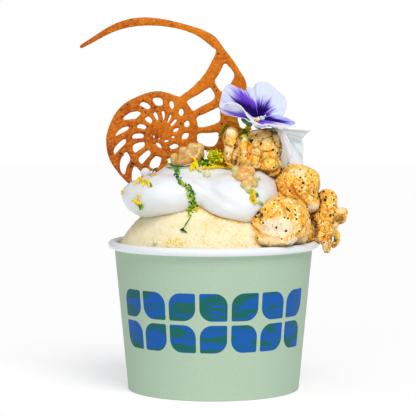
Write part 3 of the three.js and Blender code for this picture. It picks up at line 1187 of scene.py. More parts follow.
    def build_base(self) -> Piece:
        """Makes the raised base.

        Returns:
            The piece.
        """
        profile = self.base_profile()
        angles = np.linspace(0, 2 * math.pi, self.sides // 2, endpoint=False)
        rim = profile[1:-1]
        points = np.stack(
            [
                rim[None, :, 0] * np.cos(angles)[:, None],
                rim[None, :, 0] * np.sin(angles)[:, None],
                np.broadcast_to(rim[None, :, 1], (len(angles), len(rim))),
            ],
            -1,
        ).reshape(-1, 3)
        low, high = len(points), len(points) + 1
        points = np.vstack([points, [(0, 0, profile[0, 1]), (0, 0, profile[-1, 1])]])
        first = np.arange(len(angles)) * len(rim)
        after = np.roll(first, -1)
        under = np.stack([after, first, np.full_like(first, low)], -1)
        over = np.stack([first, after, np.full_like(first, high)], -1) + [len(rim) - 1, len(rim) - 1, 0]
        mesh = make_mesh("cup_base_paper", points, [grid_faces(len(angles), len(rim), True), under, over])
        mesh.materials.append(WhiteBoard().material())
        return add_piece("cup_base_paper", mesh, ("cup_base",))


# ---------------------------------------------------------------- rounded bodies


@dataclass(frozen=True)
class Fold:
    """A crease pressed into a body along a line that the camera sees, and how dark its gap is painted, as
    painted shade.
    """

    places: tuple[Place, ...]
    width: float
    depth: float
    # How dark the fold's gap is painted: painted shade.
    brown: float = 0.0


@dataclass(frozen=True)
class Body:
    """Rounded lobes that melt into each other: x, y, z, half width, half depth, half height."""

    lobes: tuple[tuple[float, ...], ...]
    melt: float

    def distance(self, points: Array) -> Array:
        """Distance of points to the surface, less than zero inside.

        Args:
            points: Places, in mm.

        Returns:
            One distance for each place.
        """
        total = None
        for x, y, z, *halves in self.lobes:
            away = points - (x, y, z)
            scaled = np.linalg.norm(away / halves, axis=-1)
            steep = np.linalg.norm(away / np.square(halves), axis=-1)
            one = scaled * (scaled - 1) / np.maximum(steep, 1e-6)
            total = one if total is None else melt(total, one, self.melt)
        return total

    def creased(self, folds: tuple[Fold, ...], count: int) -> list[tuple[Array, Fold]]:
        """The lines of folds on the body.

        Args:
            folds: The folds.
            count: How many points each line gets.

        Returns:
            Each fold's line with the fold.
        """
        met = [[EYE.meet(self.distance, *place) for place in fold.places] for fold in folds]
        return [(along(line, count), fold) for line, fold in zip(met, folds)]

    def box(self, margin: float) -> tuple[Array, Array]:
        """The lowest and highest corner of a box round the lobes."""
        rows = np.array(self.lobes)
        return (rows[:, :3] - rows[:, 3:]).min(0) - margin, (rows[:, :3] + rows[:, 3:]).max(0) + margin


@dataclass
class Sorbet:
    """The fill of the cup and the mound that stands over its rim."""

    bottom: float = 6.8
    wall_gap: float = 0.8
    shoulder: float = 63.6
    shoulder_radius: float = 44.1
    mound: float = 64.8
    mound_radius: float = 43.1
    rise: float = 27.0
    brink: float = 43.0
    grain: tuple[Layer, ...] = (Layer(0.16, 1.1, 3, 2), Layer(0.28, 4.0, 8, 2))
    rings: int = 150
    sides: int = 480

    def top(self, r: Array) -> Array:
        """Height of the mound at a distance from the axis."""
        return self.mound + self.rise * np.maximum(0, 1 - (r / self.mound_radius) ** 2) ** 0.75

    def uneven(self, x: Array, y: Array) -> Array:
        """The slow unevenness that the scoop leaves."""
        return 0.5 * np.sin(x / 9 + 0.7) * np.cos(y / 11 - 0.4) + 0.3 * np.sin((x - y) / 6)

    def distance(self, points: Array) -> Array:
        """Roughly the distance of points to the mound, less than zero inside.

        Args:
            points: Places, in mm.

        Returns:
            One distance for each place.
        """
        r = np.linalg.norm(points[..., :2], axis=-1)
        steep = 1 + 0.9 * smooth(20, self.brink, r)
        above = points[..., 2] - self.top(np.minimum(r, self.mound_radius))
        return above / steep + np.maximum(0, r - self.brink) * 0.5

    def build(self, cup: PaperCup, lying: list[Body]) -> Piece:
        """Makes the sorbet, grained on its mound and tinted tan where something lies on it, a stain with
        painted contact shade.

        Args:
            cup: The cup that it fills.
            lying: What lies on it.

        Returns:
            The piece.
        """
        share = np.linspace(0, 1, self.rings) ** 0.8
        tilt = (math.pi / 2) * (1 - share)
        r = self.mound_radius * np.sin(np.minimum(tilt, math.pi / 2 - 0.001))
        r[0] = self.mound_radius
        angles = np.linspace(0, 2 * math.pi, self.sides, endpoint=False)
        low_radius = cup.radius(self.bottom, self.wall_gap)
        skirt = [
            (low_radius - 1, self.bottom),
            (low_radius, self.bottom + 1),
            (cup.radius(self.shoulder, self.wall_gap), self.shoulder - 1),
            (self.shoulder_radius, self.shoulder),
        ]
        radii = np.concatenate([[s[0] for s in skirt], r[:-1]])
        heights = np.concatenate([[s[1] for s in skirt], self.top(r[:-1])])
        x = radii[None] * np.cos(angles)[:, None]
        y = radii[None] * np.sin(angles)[:, None]
        fade = smooth(0, 6, self.mound_radius - radii)[None]
        z = heights[None] + fade * self.uneven(x, y)
        points = np.stack([x, y, z], -1)
        outward = unit(np.stack([x * 0.6, y * 0.6, np.full_like(x, 26) * (0.25 + fade)], -1))
        grain = relief(points, self.grain)
        settled = smooth(0, 2, self.mound_radius - radii)[None, 4:, None]
        points[:, 4:] += (outward * grain[..., None])[:, 4:] * settled
        count = len(radii)
        flat = points.reshape(-1, 3)
        centre_top = np.array([[0, 0, self.top(np.zeros(1))[0] + self.uneven(0, 0)]])
        flat = np.vstack([flat, [[0, 0, self.bottom]], centre_top])
        first = np.arange(self.sides) * count
        after = np.roll(first, -1)
        under = np.stack([after, first, np.full_like(first, len(flat) - 2)], -1)
        over = np.stack([first + count - 1, after + count - 1, np.full_like(first, len(flat) - 1)], -1)
        mesh = make_mesh("sorbet_mound", flat, [grid_faces(self.sides, count, True), under, over])
        # The tan stain with painted contact shade: strongest close to what lies on the mound, with ragged
        # edges.
        near = np.min([body.distance(flat) for body in lying], axis=0)
        ragged = near + 1.1 * noise(flat * (1, 1, 0.3), 1.0, 11, 2) + 0.6 * noise(flat, 3.0, 12)
        reach = 0.9 + 1.5 * smooth(-12, 4, flat[:, 0])
        mark(mesh, "stain_and_contact_shade", 1 - smooth(0.0, 1.0, ragged / reach))
        mark(mesh, "zesty", smooth(-20, 5, flat[:, 0] - 10 * noise(flat, 14, 5)) * 0.7 + 0.3)
        mesh.materials.append(SorbetFinish().material())
        return add_piece("sorbet_mound", mesh, ("sorbet",))


@dataclass
class Cream:
    """The dollop of meringue cream on the sorbet."""

    body: Body = Body(
        (
            (-17.6, -12, 89.2, 19.6, 17.3, 10.4), (-30.5, -5, 89.4, 11, 13, 6.2), (-27, -6, 86, 12, 13, 7.2),
            (9, -15.5, 87.4, 18, 15, 11.6), (15, -13.5, 86.5, 13, 13.5, 9.5),
            (11, -20.5, 83.6, 14.5, 12.6, 8.4), (-10, -3, 95.8, 15, 12.5, 9.4), (20, -5, 92.2, 9, 11, 8.5),
            (6, -5, 92.5, 12, 10, 8.5), (-9, 13, 91, 22, 14.5, 10.5), (12, 12, 90, 17, 13, 10.5),
        ),
        5.0,
    )
    folds: tuple[Fold, ...] = (
        Fold(((196, 181), (203, 185), (211, 191), (219, 198), (228, 203), (236, 206)), 1.7, 0.5),
        Fold(((193, 194), (195, 202), (199, 210), (204, 216)), 3.0, 0.9),
    )
    silk: tuple[Layer, ...] = (Layer(0.4, 9, 21, 2), Layer(0.16, 3.4, 23, 2, (0.7, 1, 1.8)))
    back: tuple[Layer, ...] = (Layer(1.6, 11, 29, 1, (1, 1, 1.7)),)
    step: float = 0.42

    def build(self, sorbet: Sorbet, popcorns: list["Popcorn"]) -> Piece:
        """Makes the cream with its folds, clear of the mound and of the popcorn.

        Args:
            sorbet: What it lies on.
            popcorns: What stands in it.

        Returns:
            The piece.
        """
        lines = self.body.creased(self.folds, 14)

        def distance(points: Array) -> Array:
            """The cream's surface with everything pressed into it.

            Args:
                points: Places, in mm.

            Returns:
                One distance for each place.
            """
            total = self.body.distance(points)
            near = np.abs(total) < 4
            close = points[near]
            pressed = relief(close, self.silk)
            pressed += relief(close, self.back) * smooth(0, 8, close[:, 1])
            for line, fold in lines:
                away = path_distance(close, line) / fold.width
                pressed += fold.depth * (np.exp(-away * away) - 0.1 * np.exp(-((away - 1.6) ** 2)))
            total[near] += pressed
            total = np.maximum(total, -0.15 - sorbet.distance(points))
            for popcorn in popcorns:
                total = np.maximum(total, 0.25 - popcorn.body.distance(points))
            return total

        points, faces = SurfaceNet(self.step).draw(distance, *self.body.box(0.5))
        mesh = make_mesh("cream_dollop", points, [faces])
        mesh.materials.append(CreamFinish().material())
        return add_piece("cream_dollop", mesh, ("cream",))


class Popped(Enum):
    """The four popcorn pieces, by the CAD nodes that they stand for."""

    TOP = "popcorn_top"
    BACK = "popcorn_back"
    FRONT = "popcorn_front"
    RIGHT = "popcorn_right"


@dataclass(frozen=True)
class Patch:
    """A round patch on a body, by where the camera sees it and its half width there, in picture places."""

    x: float
    y: float
    across: float
    up: float
    strength: float = 1.0


@dataclass
class Popcorn:
    """One glazed popcorn piece, cracked into plates over its lobes."""

    kind: Popped
    body: Body
    seed: int
    folds: tuple[Fold, ...] = ()
    toasted_and_shaded: tuple[Patch, ...] = ()
    milky_and_highlit: tuple[Patch, ...] = ()
    tanned: tuple[Patch, ...] = ()
    tan: float = 0.0
    plate: float = 4.6
    crack: float = 0.5
    wrinkle: float = 1.0
    step: float = 0.3

    def cracked(self, points: Array) -> tuple[Array, Array]:
        """The plates and wrinkles at points near the surface.

        Args:
            points: Places, in mm.

        Returns:
            How far each point is pressed in, and how much it lies in a crease, from 0 to 1.
        """
        bent = points + 0.8 * np.stack([noise(points, 3.0, self.seed + i, 2) for i in range(3)], -1)
        near, edge = plates(bent * (1.15, 1.15, 0.85), self.plate, self.seed)
        crack = 1 - smooth(0.0, 0.12, edge)
        wide = 1 - smooth(0.0, 0.2, np.abs(noise(bent * (1.3, 1.3, 0.7), 2.7, self.seed + 3, 2)))
        fine = 1 - smooth(0.0, 0.3, np.abs(noise(bent, 1.3, self.seed + 4)))
        pressed = self.crack * (0.5 * crack + self.wrinkle * (0.5 * wide + 0.3 * fine) + 0.7 * near**2)
        pressed += 0.07 * self.wrinkle * noise(points, 0.8, self.seed + 5, 2)
        crease = np.clip(0.7 * crack + self.wrinkle * (0.6 * wide + 0.3 * fine), 0, 1)
        return pressed, crease

    def patched(self, points: Array, patches: tuple[Patch, ...]) -> Array:
        """How much each point lies in any of the patches.

        Args:
            points: Places, in mm.
            patches: The patches.

        Returns:
            A share for each place.
        """
        total = np.zeros(len(points))
        away = points - EYE.origin
        c, s = math.cos(EYE.pitch), math.sin(EYE.pitch)
        ahead = away[:, 1] * c - away[:, 2] * s
        x = EYE.picture / 2 + EYE.shift + EYE.focal * away[:, 0] / ahead
        y = EYE.picture / 2 - EYE.focal * (away[:, 1] * s + away[:, 2] * c) / ahead
        for patch in patches:
            far = ((x - patch.x) / patch.across) ** 2 + ((y - patch.y) / patch.up) ** 2
            total = np.maximum(total, patch.strength * (1 - smooth(0.2, 1.6, far)))
        return total

    def build(self, sorbet: Sorbet, cup: PaperCup, others: list["Popcorn"]) -> Piece:
        """Makes the piece, clear of what it rests on.

        Args:
            sorbet: The mound that it lies on.
            cup: The cup, whose rolled rim it may touch.
            others: The popcorn pieces that were there first.

        Returns:
            The piece.
        """
        lines = self.body.creased(self.folds, 10)
        roll = cup.rim_radius - cup.roll_radius
        roll_height = cup.height - cup.roll_radius

        def pressed(points: Array) -> tuple[Array, Array, Array]:
            """The relief with the folds in it.

            Args:
                points: Places, in mm.

            Returns:
                How far each place is pressed in, how much it lies in a crease, and how dark the folds paint
                it, as painted shade in their gaps.
            """
            depth, crease = self.cracked(points)
            brown = np.zeros(len(points))
            for line, fold in lines:
                away = path_distance(points, line) / fold.width
                depth = depth + fold.depth * np.exp(-away * away)
                crease = np.maximum(crease, np.exp(-0.7 * away * away))
                brown = np.maximum(brown, fold.brown * np.exp(-1.2 * away * away))
            return depth, crease, brown

        def distance(points: Array) -> Array:
            """The piece's surface.

            Args:
                points: Places, in mm.

            Returns:
                One distance for each place.
            """
            total = self.body.distance(points) - 0.5
            near = np.abs(total) < 2.8
            total[near] += pressed(points[near])[0]
            total = np.maximum(total, 0.1 - sorbet.distance(points))
            ring = np.hypot(np.linalg.norm(points[:, :2], axis=-1) - roll, points[:, 2] - roll_height)
            total = np.maximum(total, cup.roll_radius + 0.15 - ring)
            for other in others:
                total = np.maximum(total, 0.2 - other.body.distance(points))
            return total

        points, faces = SurfaceNet(self.step).draw(distance, *self.body.box(0.6))
        name = f"{self.kind.value}_glazed"
        mesh = make_mesh(name, points, [faces])
        _, crease, brown = pressed(points)
        blotch = 0.5 + 0.5 * noise(points, 2.2, self.seed + 9, 3)
        # Dark brown from the patches, partly toasting and partly painted shade, and painted shade in the
        # folds' gaps.
        toast_and_shade = np.maximum(self.patched(points, self.toasted_and_shaded) * smooth(0.25, 0.6, blotch), brown)
        # Painted shade where the piece touches the pieces that were there first.
        for other in others:
            toast_and_shade = np.maximum(toast_and_shade, (1 - smooth(0.3, 2.2, other.body.distance(points))) * 0.9)
        # Painted shade on the undersides, which face away from the light.
        below = self.body.distance(points + (0, 0, 0.5)) - self.body.distance(points - (0, 0, 0.5))
        toast_and_shade = np.maximum(toast_and_shade, 0.85 * smooth(-0.4, -0.85, below) * smooth(0.1, 0.5, blotch))
        # The finish paints creases honey, partly as painted crease shade.
        mark(mesh, "crease", crease)
        mark(mesh, "toast_and_shade", np.clip(toast_and_shade, 0, 1))
        # Pale patches, partly painted highlight.
        mark(mesh, "milk_and_highlight", self.patched(points, self.milky_and_highlit))
        mark(mesh, "tan", np.maximum(self.tan, self.patched(points, self.tanned)))
        mesh.materials.append(PopcornFinish().material())
        return add_piece(name, mesh, (self.kind.value,))


def popcorn_pieces() -> list[Popcorn]:
    """The four popcorn pieces, in the order in which they make room for each other.

    Returns:
        The pieces.
    """
    return [
        Popcorn(
            Popped.TOP,
            Body(
                (
                    (22.2, -4.8, 110, 8.6, 9.4, 8.6), (15.6, -4.8, 106, 6.6, 7, 8.4),
                    (13.4, -10.4, 109.4, 2.6, 3.6, 6.8), (10.4, -7.4, 104, 3.8, 5, 5.2),
                    (8, -8.5, 113.8, 3.4, 3.6, 5.6), (7.6, -9, 107.6, 2.6, 3.8, 5),
                    (18.5, -3, 101.6, 8.6, 7.6, 4.2), (24.6, -2.5, 114, 5.4, 6.4, 4.8),
                    (25.2, -6, 102, 5.6, 7, 5.6), (18.4, -9.4, 104.6, 3.6, 4.4, 5), (20, 1, 111, 8, 6.4, 7),
                ),
                0.9,
            ),
            31,
            # The last number of a fold is how dark its gap is painted: painted shade.
            folds=(
                Fold(((247, 138), (247.6, 145), (248, 152), (247.6, 159)), 0.6, 0.8),
                Fold(((236.4, 143), (235, 148), (233.6, 152), (232, 157), (231, 161)), 0.6, 1.0, 0.7),
                Fold(((237, 157), (236, 161), (234.6, 165)), 0.6, 1.3, 1.0),
                Fold(((262, 152), (261, 157), (259.4, 161), (257, 165.6)), 0.5, 1.0, 0.5),
                Fold(((271.6, 133), (273, 138), (274.6, 143), (277, 146.6), (281, 147.6)), 0.5, 0.9, 0.5),
                Fold(((254, 169.4), (260, 170.6), (267, 171.6), (274, 172), (279, 169)), 0.9, 1.6, 1.0),
                Fold(((262, 151), (267, 151.6), (272, 150.6)), 0.45, 0.6, 0.2),
                Fold(((225, 144), (228, 145.6), (231, 147)), 0.6, 0.9, 0.4),
                Fold(((225, 152), (226.4, 158), (229, 162)), 0.4, 0.5, 0.3),
                Fold(((253, 147), (258, 147.6), (261, 151)), 0.45, 0.6),
            ),
            # Dark patches: partly toasting, partly painted shade at the base and in gaps.
            toasted_and_shaded=(
                Patch(268, 128, 10, 3, 1.0), Patch(274.6, 131.4, 5, 4, 0.9),
                Patch(278.6, 167.4, 3.4, 8, 1.0), Patch(266, 175, 16, 4.4, 1.0), Patch(234, 162, 5, 4, 0.7),
                Patch(239.6, 131, 2.2, 7, 0.9), Patch(224.6, 132, 1.8, 8, 0.7),
                Patch(281, 148, 2.2, 18, 0.9),
            ),
            # Pale patches, partly painted highlight.
            milky_and_highlit=(Patch(231, 131, 4, 6, 0.5), Patch(228.6, 151, 2.6, 5, 0.5), Patch(256, 132, 6, 3, 0.4)),
            tanned=(Patch(248, 148, 3, 9, 0.7), Patch(270, 162, 9, 7, 0.6)), tan=0.2, plate=6.0, crack=0.5,
            wrinkle=0.8,
        ),
        Popcorn(
            Popped.BACK,
            Body(
                (
                    (37.4, -5, 93.2, 10.2, 9.6, 9.4), (33, -6, 89, 6, 6.4, 6.2),
                    (41.8, -6.5, 85.6, 6, 6.2, 5.6), (40, 0, 92, 8, 8, 7.6), (42.4, -7, 95.4, 5.6, 6, 5.4),
                ),
                1.6,
            ),
            47,
            # The last number of a fold is how dark its gap is painted: painted shade.
            folds=(
                Fold(((276, 186), (280, 192), (286, 197)), 0.6, 0.9),
                Fold(((292, 186), (296, 194), (302, 200), (308, 206)), 0.6, 1.2, 0.4),
                Fold(((284, 181), (288, 189), (294, 195)), 0.4, 0.6),
                Fold(((306, 190), (312, 196), (317, 199)), 0.5, 0.8),
            ),
            # Dark patches: partly toasting, partly painted shade.
            toasted_and_shaded=(Patch(274.6, 194, 2.4, 9, 0.9), Patch(284, 170, 5, 3, 0.5), Patch(319, 190, 2, 8, 0.4)),
            # Pale patches, partly painted highlight.
            milky_and_highlit=(Patch(299, 172, 7, 4, 0.6), Patch(313, 207, 6, 5, 0.7)), tan=0.45, crack=0.5, wrinkle=0.8,
        ),
        Popcorn(
            Popped.FRONT,
            Body(
                (
                    (29.8, -24, 77.8, 13, 11.4, 11), (20.6, -26.5, 80, 4.8, 5, 5),
                    (19.6, -27, 74.6, 4.2, 5, 4.6), (26.4, -31.2, 70.8, 9.4, 7.4, 3.8),
                    (36.8, -22, 74.8, 5.8, 7, 7.6), (29.8, -16, 77, 9.6, 8, 8.6),
                ),
                1.2,
            ),
            59,
            # The last number of a fold is how dark its gap is painted: painted shade.
            folds=(
                Fold(((253, 228), (258, 232), (264, 235.4), (273, 237), (282, 239)), 0.6, 1.5, 0.15),
                Fold(((285, 214), (284, 208), (281, 203)), 0.8, 0.6),
                Fold(((254, 216), (258, 213), (262, 214)), 0.5, 0.8, 0.8),
            ),
            # Dark patches: partly toasting, partly painted shade along the foot and in gaps.
            toasted_and_shaded=(
                Patch(255, 211, 6, 6, 1.0), Patch(260, 216, 4, 3, 0.8), Patch(251, 226, 2.4, 5, 0.4),
                Patch(280, 249.6, 32, 3.4, 0.9), Patch(306, 245, 7, 3.6, 1.0), Patch(250.6, 240, 3, 9, 0.7),
            ),
            # Pale patches, partly painted highlight where the light falls.
            milky_and_highlit=(Patch(277, 228, 18, 10, 0.9), Patch(294, 242, 6, 5, 0.8), Patch(272, 241, 14, 5, 0.5)),
            tanned=(Patch(291, 215, 4, 3.6, 1.0), Patch(283, 208, 3, 6, 0.9), Patch(258, 222, 8, 5, 0.6)),
            tan=0.2, crack=0.3, wrinkle=0.9,
        ),
        Popcorn(
            Popped.RIGHT,
            Body(
                (
                    (51.6, -2, 86.6, 4.6, 4.8, 4.4), (46.6, -2.6, 78.6, 4.6, 5, 7),
                    (50.6, -2.6, 80.6, 6, 6, 6.6), (58.6, -3, 80.5, 2.3, 2.5, 2.2),
                    (55.6, -2.6, 80.2, 2.6, 1.9, 1.9), (57.6, -2.6, 77.6, 2.5, 2.2, 1.9),
                    (48.6, -2, 74.6, 6, 6, 5.4), (46, -3.5, 70.6, 4.4, 5.4, 4.4),
                    (50.8, -4.4, 71.6, 3.4, 3.6, 4.6), (51.4, -6, 66.6, 2.1, 2.3, 4),
                    (55.4, -2.6, 75.2, 1.4, 1.5, 1.5), (54.4, -2, 72.2, 1.7, 1.8, 1.5),
                    (56.2, -1.8, 70.4, 1.3, 1.5, 1.5), (56.4, -1.8, 67.8, 1.2, 1.4, 1.5),
                    (55, -2.6, 65.8, 1.3, 1.4, 1.2),
                ),
                1.3,
            ),
            73,
            # Dark patches: partly toasting, partly painted shade where it touches the others.
            toasted_and_shaded=(
                Patch(312, 214, 5, 11, 1.0), Patch(339, 219, 6, 3.4, 0.8), Patch(333, 242, 5, 9, 0.7),
                Patch(315, 230, 4, 9, 0.9),
            ),
            # Pale patches, partly painted highlight.
            milky_and_highlit=(Patch(341, 211, 4, 3, 0.8), Patch(335, 225, 2.5, 3, 0.8), Patch(325, 245, 3, 5, 0.6)),
            tan=0.5, plate=3.4, crack=0.75, step=0.25,
        ),
    ]


# ---------------------------------------------------------------- the tuile


@dataclass
class Tuile:
    """The lace biscuit: a nautilus shell seen from the side, measured from the pole of its spiral."""

    pole: Triple = (-23.9, 8.0, 115.9)
    thickness: float = 1.8
    puff: float = 1.35
    reach_across: Place = (-40, 44)
    reach_up: Place = (-31, 57)
    warp: tuple[Layer, ...] = (Layer(0.22, 26, 5), Layer(0.06, 6, 6))
    blisters: tuple[Layer, ...] = (Layer(0.05, 1.5, 9, 2), Layer(0.03, 0.6, 12))
    step: float = 0.3
    outer_edge: tuple[tuple[float, float], ...] = (
        (132, 55.4), (111, 55.1), (93, 53.5), (66, 51.6), (53, 48.6), (39, 46.4), (29, 44.9), (0, 40.6),
        (-30, 35.9), (-60, 31.4), (-90, 28.6), (-118, 27.6), (-150, 26.6), (-173, 25.7), (-192, 24.2),
        (-211, 22.9), (-232, 21.1), (-264, 20.1), (-296, 19.3),
    )
    last_wall: tuple[Place, ...] = ((8.4, 17.5), (14, 21.6), (20.2, 28.4), (25.3, 38.0))
    inner_edge: tuple[tuple[float, float], ...] = (
        (57, 46.2), (74, 48.6), (94, 50), (112, 51.7), (131, 53.4),
    )
    arm_tip: tuple[tuple[float, float], ...] = ((132.9, 53.9), (133.3, 54.7))
    kite: tuple[Place, ...] = (
        (26.6, 28), (24.1, 24.4), (27.6, 19.2), (30.4, 21.3), (33.7, 26.6), (32.8, 29.2), (29, 33.3),
    )
    hidden: tuple[tuple[float, ...], ...] = (
        (9, 38.5, 5.2, 6, 10), (-16, 34.3, 6, 5.4, 5), (-42, 31.2, 4.2, 4.6, 0), (-27.5, 20.8, 8.7, 5.6, 10),
        (-50.8, 20.5, 8, 4.6, 17), (-75, 20.3, 7, 4, 25), (-98.5, 20.7, 8, 3.6, 31),
    )
    seen: tuple[tuple[Place, ...], ...] = (
        (
            (186.5, 102), (188, 100.2), (200, 93.7), (209.5, 87.2), (211, 88), (214.2, 93.5), (215, 97),
            (214, 99), (211, 101.3), (201, 106.5), (193.5, 111), (192.5, 110.5), (190, 107),
        ),
        (
            (196.3, 118.7), (197.5, 116.7), (207, 112.8), (218, 107.3), (219.5, 108), (220, 112),
            (220.5, 118), (219.5, 121.5), (216, 123.5), (210, 125.5), (204, 127), (199, 127.3), (198, 126.5),
        ),
        (
            (198, 133.3), (210, 133), (217.5, 132.2), (219, 134), (218, 140), (216, 144), (213.5, 146.5),
            (208, 146.5), (203, 145), (199, 143.3), (196.8, 140), (197.3, 136),
        ),
        ((152, 99.6), (154, 97.9), (160.4, 97.6), (162.5, 100.2), (163, 105.3), (156.3, 106)),
        ((139, 104.7), (142.5, 101.8), (147, 103), (151, 107), (149, 109), (146.5, 109), (142.5, 106.7)),
        (
            (123, 118.8), (125, 116), (131, 112.2), (137, 111.2), (140.5, 112.2), (141, 113.6), (138, 116.5),
            (136, 118.9), (130, 119.3), (124, 119.9),
        ),
        (
            (115, 135.5), (118, 131), (123.5, 127.2), (128.8, 126.4), (129, 128.5), (126, 131), (120, 133.6),
            (116, 136.2),
        ),
        (
            (126, 139.3), (126, 142.5), (123, 146), (118, 150.5), (115, 154.6), (113.4, 152), (114.5, 148),
            (119, 142.5), (123.5, 139.3),
        ),
        (
            (126.5, 151.7), (128, 153.5), (130.4, 158.5), (130, 161), (127.5, 164.5), (126, 169),
            (125, 174.5), (123.5, 174.5), (120.3, 170.8), (119.8, 164), (121, 159), (124, 153.5),
        ),
        (
            (134.8, 165.7), (138, 168.3), (141, 172), (141.4, 178), (139, 183), (133.7, 183.8), (131.7, 180),
            (131.8, 173), (133, 168),
        ),
        (
            (148.8, 149.8), (150.8, 152.5), (150, 155), (145, 160.5), (142.2, 164), (140.5, 163.5),
            (138.2, 160), (139.5, 157), (144, 153),
        ),
        (
            (156, 155.8), (161, 157.5), (161.5, 159), (160, 163.5), (158.5, 167.5), (153, 168.5),
            (149.3, 167), (150.3, 162), (153.5, 158),
        ),
        ((166.5, 160.5), (168.5, 158.2), (173, 158.5), (176, 160.5), (173, 163.5), (168, 163)),
        (
            (143.8, 141.8), (145.5, 145), (142, 148), (137.5, 151), (135.2, 153), (133.5, 151),
            (132.3, 146.5), (134.5, 144.3), (139, 142.5),
        ),
        (
            (143.3, 134.3), (143.8, 136.5), (142.8, 138), (137, 138.3), (133, 138.8), (132.2, 137.5),
            (132.6, 135), (135, 134), (140, 133.3),
        ),
        (
            (139, 124.2), (142, 124.3), (146.3, 126), (146.3, 128), (145, 129.6), (141, 128.4), (137, 128),
            (137, 126),
        ),
        (
            (144.3, 119), (147.8, 116.2), (150.5, 117.7), (152.5, 121), (151.5, 122.6), (150.2, 123.6),
            (147.5, 122),
        ),
        (
            (169.8, 101.5), (172, 100.8), (173.8, 103), (174, 107), (172.5, 109.2), (171, 108.6),
            (169.5, 104.5),
        ),
        (
            (180.7, 108.2), (183, 110), (184, 112.5), (182.5, 115.5), (180.7, 116.2), (179, 114),
            (178.5, 111.5),
        ),
        ((184, 123), (187.8, 120.2), (189, 122), (189.6, 125), (188, 126.8), (185, 127), (184.2, 125)),
        ((184, 133.2), (188.5, 133), (189, 134.5), (187.5, 138), (185.5, 139), (181.3, 139), (182.3, 135.8)),
        (
            (175, 143.5), (179, 145.7), (177.5, 147.5), (173.5, 149), (171, 149.3), (168.8, 146.8),
            (171.5, 145),
        ),
        ((157, 142), (160.5, 144.5), (162.3, 148.7), (160, 148), (155.3, 144.3)),
        ((152.8, 114), (155.5, 112), (157, 114), (158.6, 118.5), (158.5, 120.5), (157, 120.3), (155, 117)),
        (
            (161.2, 111.5), (163.5, 110.9), (164.8, 112.5), (164.5, 117), (163.9, 121), (163.1, 120.5),
            (162.5, 115.5),
        ),
        ((170.5, 114), (171.7, 115.5), (170.5, 119), (168, 123.2), (167, 123), (168.2, 119.5)),
        (
            (175.7, 119), (177, 120.2), (176.5, 121.5), (172.5, 125.5), (170.5, 126.2), (170.5, 124.5),
            (173.5, 121),
        ),
        ((178.5, 127.5), (179, 129.5), (176.5, 131.5), (173.3, 132.2), (173, 130), (175.5, 128.5)),
        ((172.5, 136), (175, 136.3), (174.5, 138), (171.3, 138.3), (171, 137.2)),
        ((165, 140.2), (168.5, 140), (168.7, 141.5), (165.5, 142.3), (164, 141.2)),
        ((158.3, 138), (159.3, 137.5), (160.1, 138.7), (159.2, 139.5), (158.3, 139)),
        ((153.3, 135.5), (154.7, 134.8), (154.8, 137), (153.8, 138.8), (152.9, 137.5)),
    )
    seeds: tuple[Triple, ...] = (
        (143, 100.2, 0.5), (127.5, 104.2, 0.42), (142.3, 108.3, 0.5), (121.9, 116.5, 0.5),
        (155, 107.5, 0.55), (157.4, 111, 0.4), (163.5, 107.5, 0.35), (145.5, 112.7, 0.42),
        (161.5, 121.3, 0.5), (132.5, 126.5, 0.48), (147.3, 126, 0.48), (144, 132.8, 0.42),
        (131.3, 121.8, 0.3), (142.9, 120.7, 0.3), (167.3, 100, 0.3), (116.9, 137.2, 0.4), (126.8, 137, 0.3),
        (138.3, 139.8, 0.45), (126.2, 146.7, 0.5), (110, 153.5, 0.45), (119.9, 153.2, 0.6),
        (121.6, 153.8, 0.4), (132.5, 163.3, 0.8), (134, 163.8, 0.5), (131, 166.5, 0.62), (110, 160, 0.35),
        (129.8, 183, 0.65), (214.3, 87, 0.5), (216.5, 90.2, 0.45), (218, 53.5, 0.55), (180.7, 123.6, 0.52),
        (195.3, 126.3, 0.42), (199.7, 113.6, 0.42), (221.7, 123.7, 0.6), (205.7, 148.6, 0.5),
        (220.5, 140, 0.5), (209, 149.5, 0.3), (224, 54, 0.4), (213, 44, 0.3), (236, 76, 0.3),
        (152.5, 130.8, 0.25), (107.6, 128, 0.25),
    )

    def polar(self, angle: Array, radius: Array) -> Array:
        """Points at angles in degrees and radii from the pole."""
        turn = np.radians(angle)
        return np.stack([radius * np.cos(turn), radius * np.sin(turn)], -1)

    def outline(self) -> Array:
        """The outside of the plate as a closed loop.

        Returns:
            The loop's points.
        """
        edges = [np.array([self.polar(*p) for p in edge]) for edge in (self.outer_edge, self.inner_edge)]
        outer, inner = along(edges[0], 260), along(edges[1], 50)
        wall = along(self.last_wall, 20)[1:-1]
        return np.vstack([outer, wall, inner, [self.polar(*p) for p in self.arm_tip]])

    def bar(self, angle: float, distance: float, length: float, width: float, slant: float) -> Array:
        """The outline of an opening that is out of sight: a rounded bar along its slanted axis.

        Args:
            angle: Where its middle is, in degrees round the pole.
            distance: How far that is from the pole.
            length: Its length.
            width: Its width.
            slant: Its turn out of the radius, in degrees.

        Returns:
            The outline's points.
        """
        t = np.linspace(0, 2 * math.pi, 28, endpoint=False)
        bulge = np.sign(np.cos(t)) * np.abs(np.cos(t)) ** 0.55 * length / 2
        spread = np.sign(np.sin(t)) * np.abs(np.sin(t)) ** 0.55 * width / 2
        axis, side = self.polar(angle + slant, 1), self.polar(angle + slant + 90, 1)
        return self.polar(angle, distance) + bulge[:, None] * axis + spread[:, None] * side

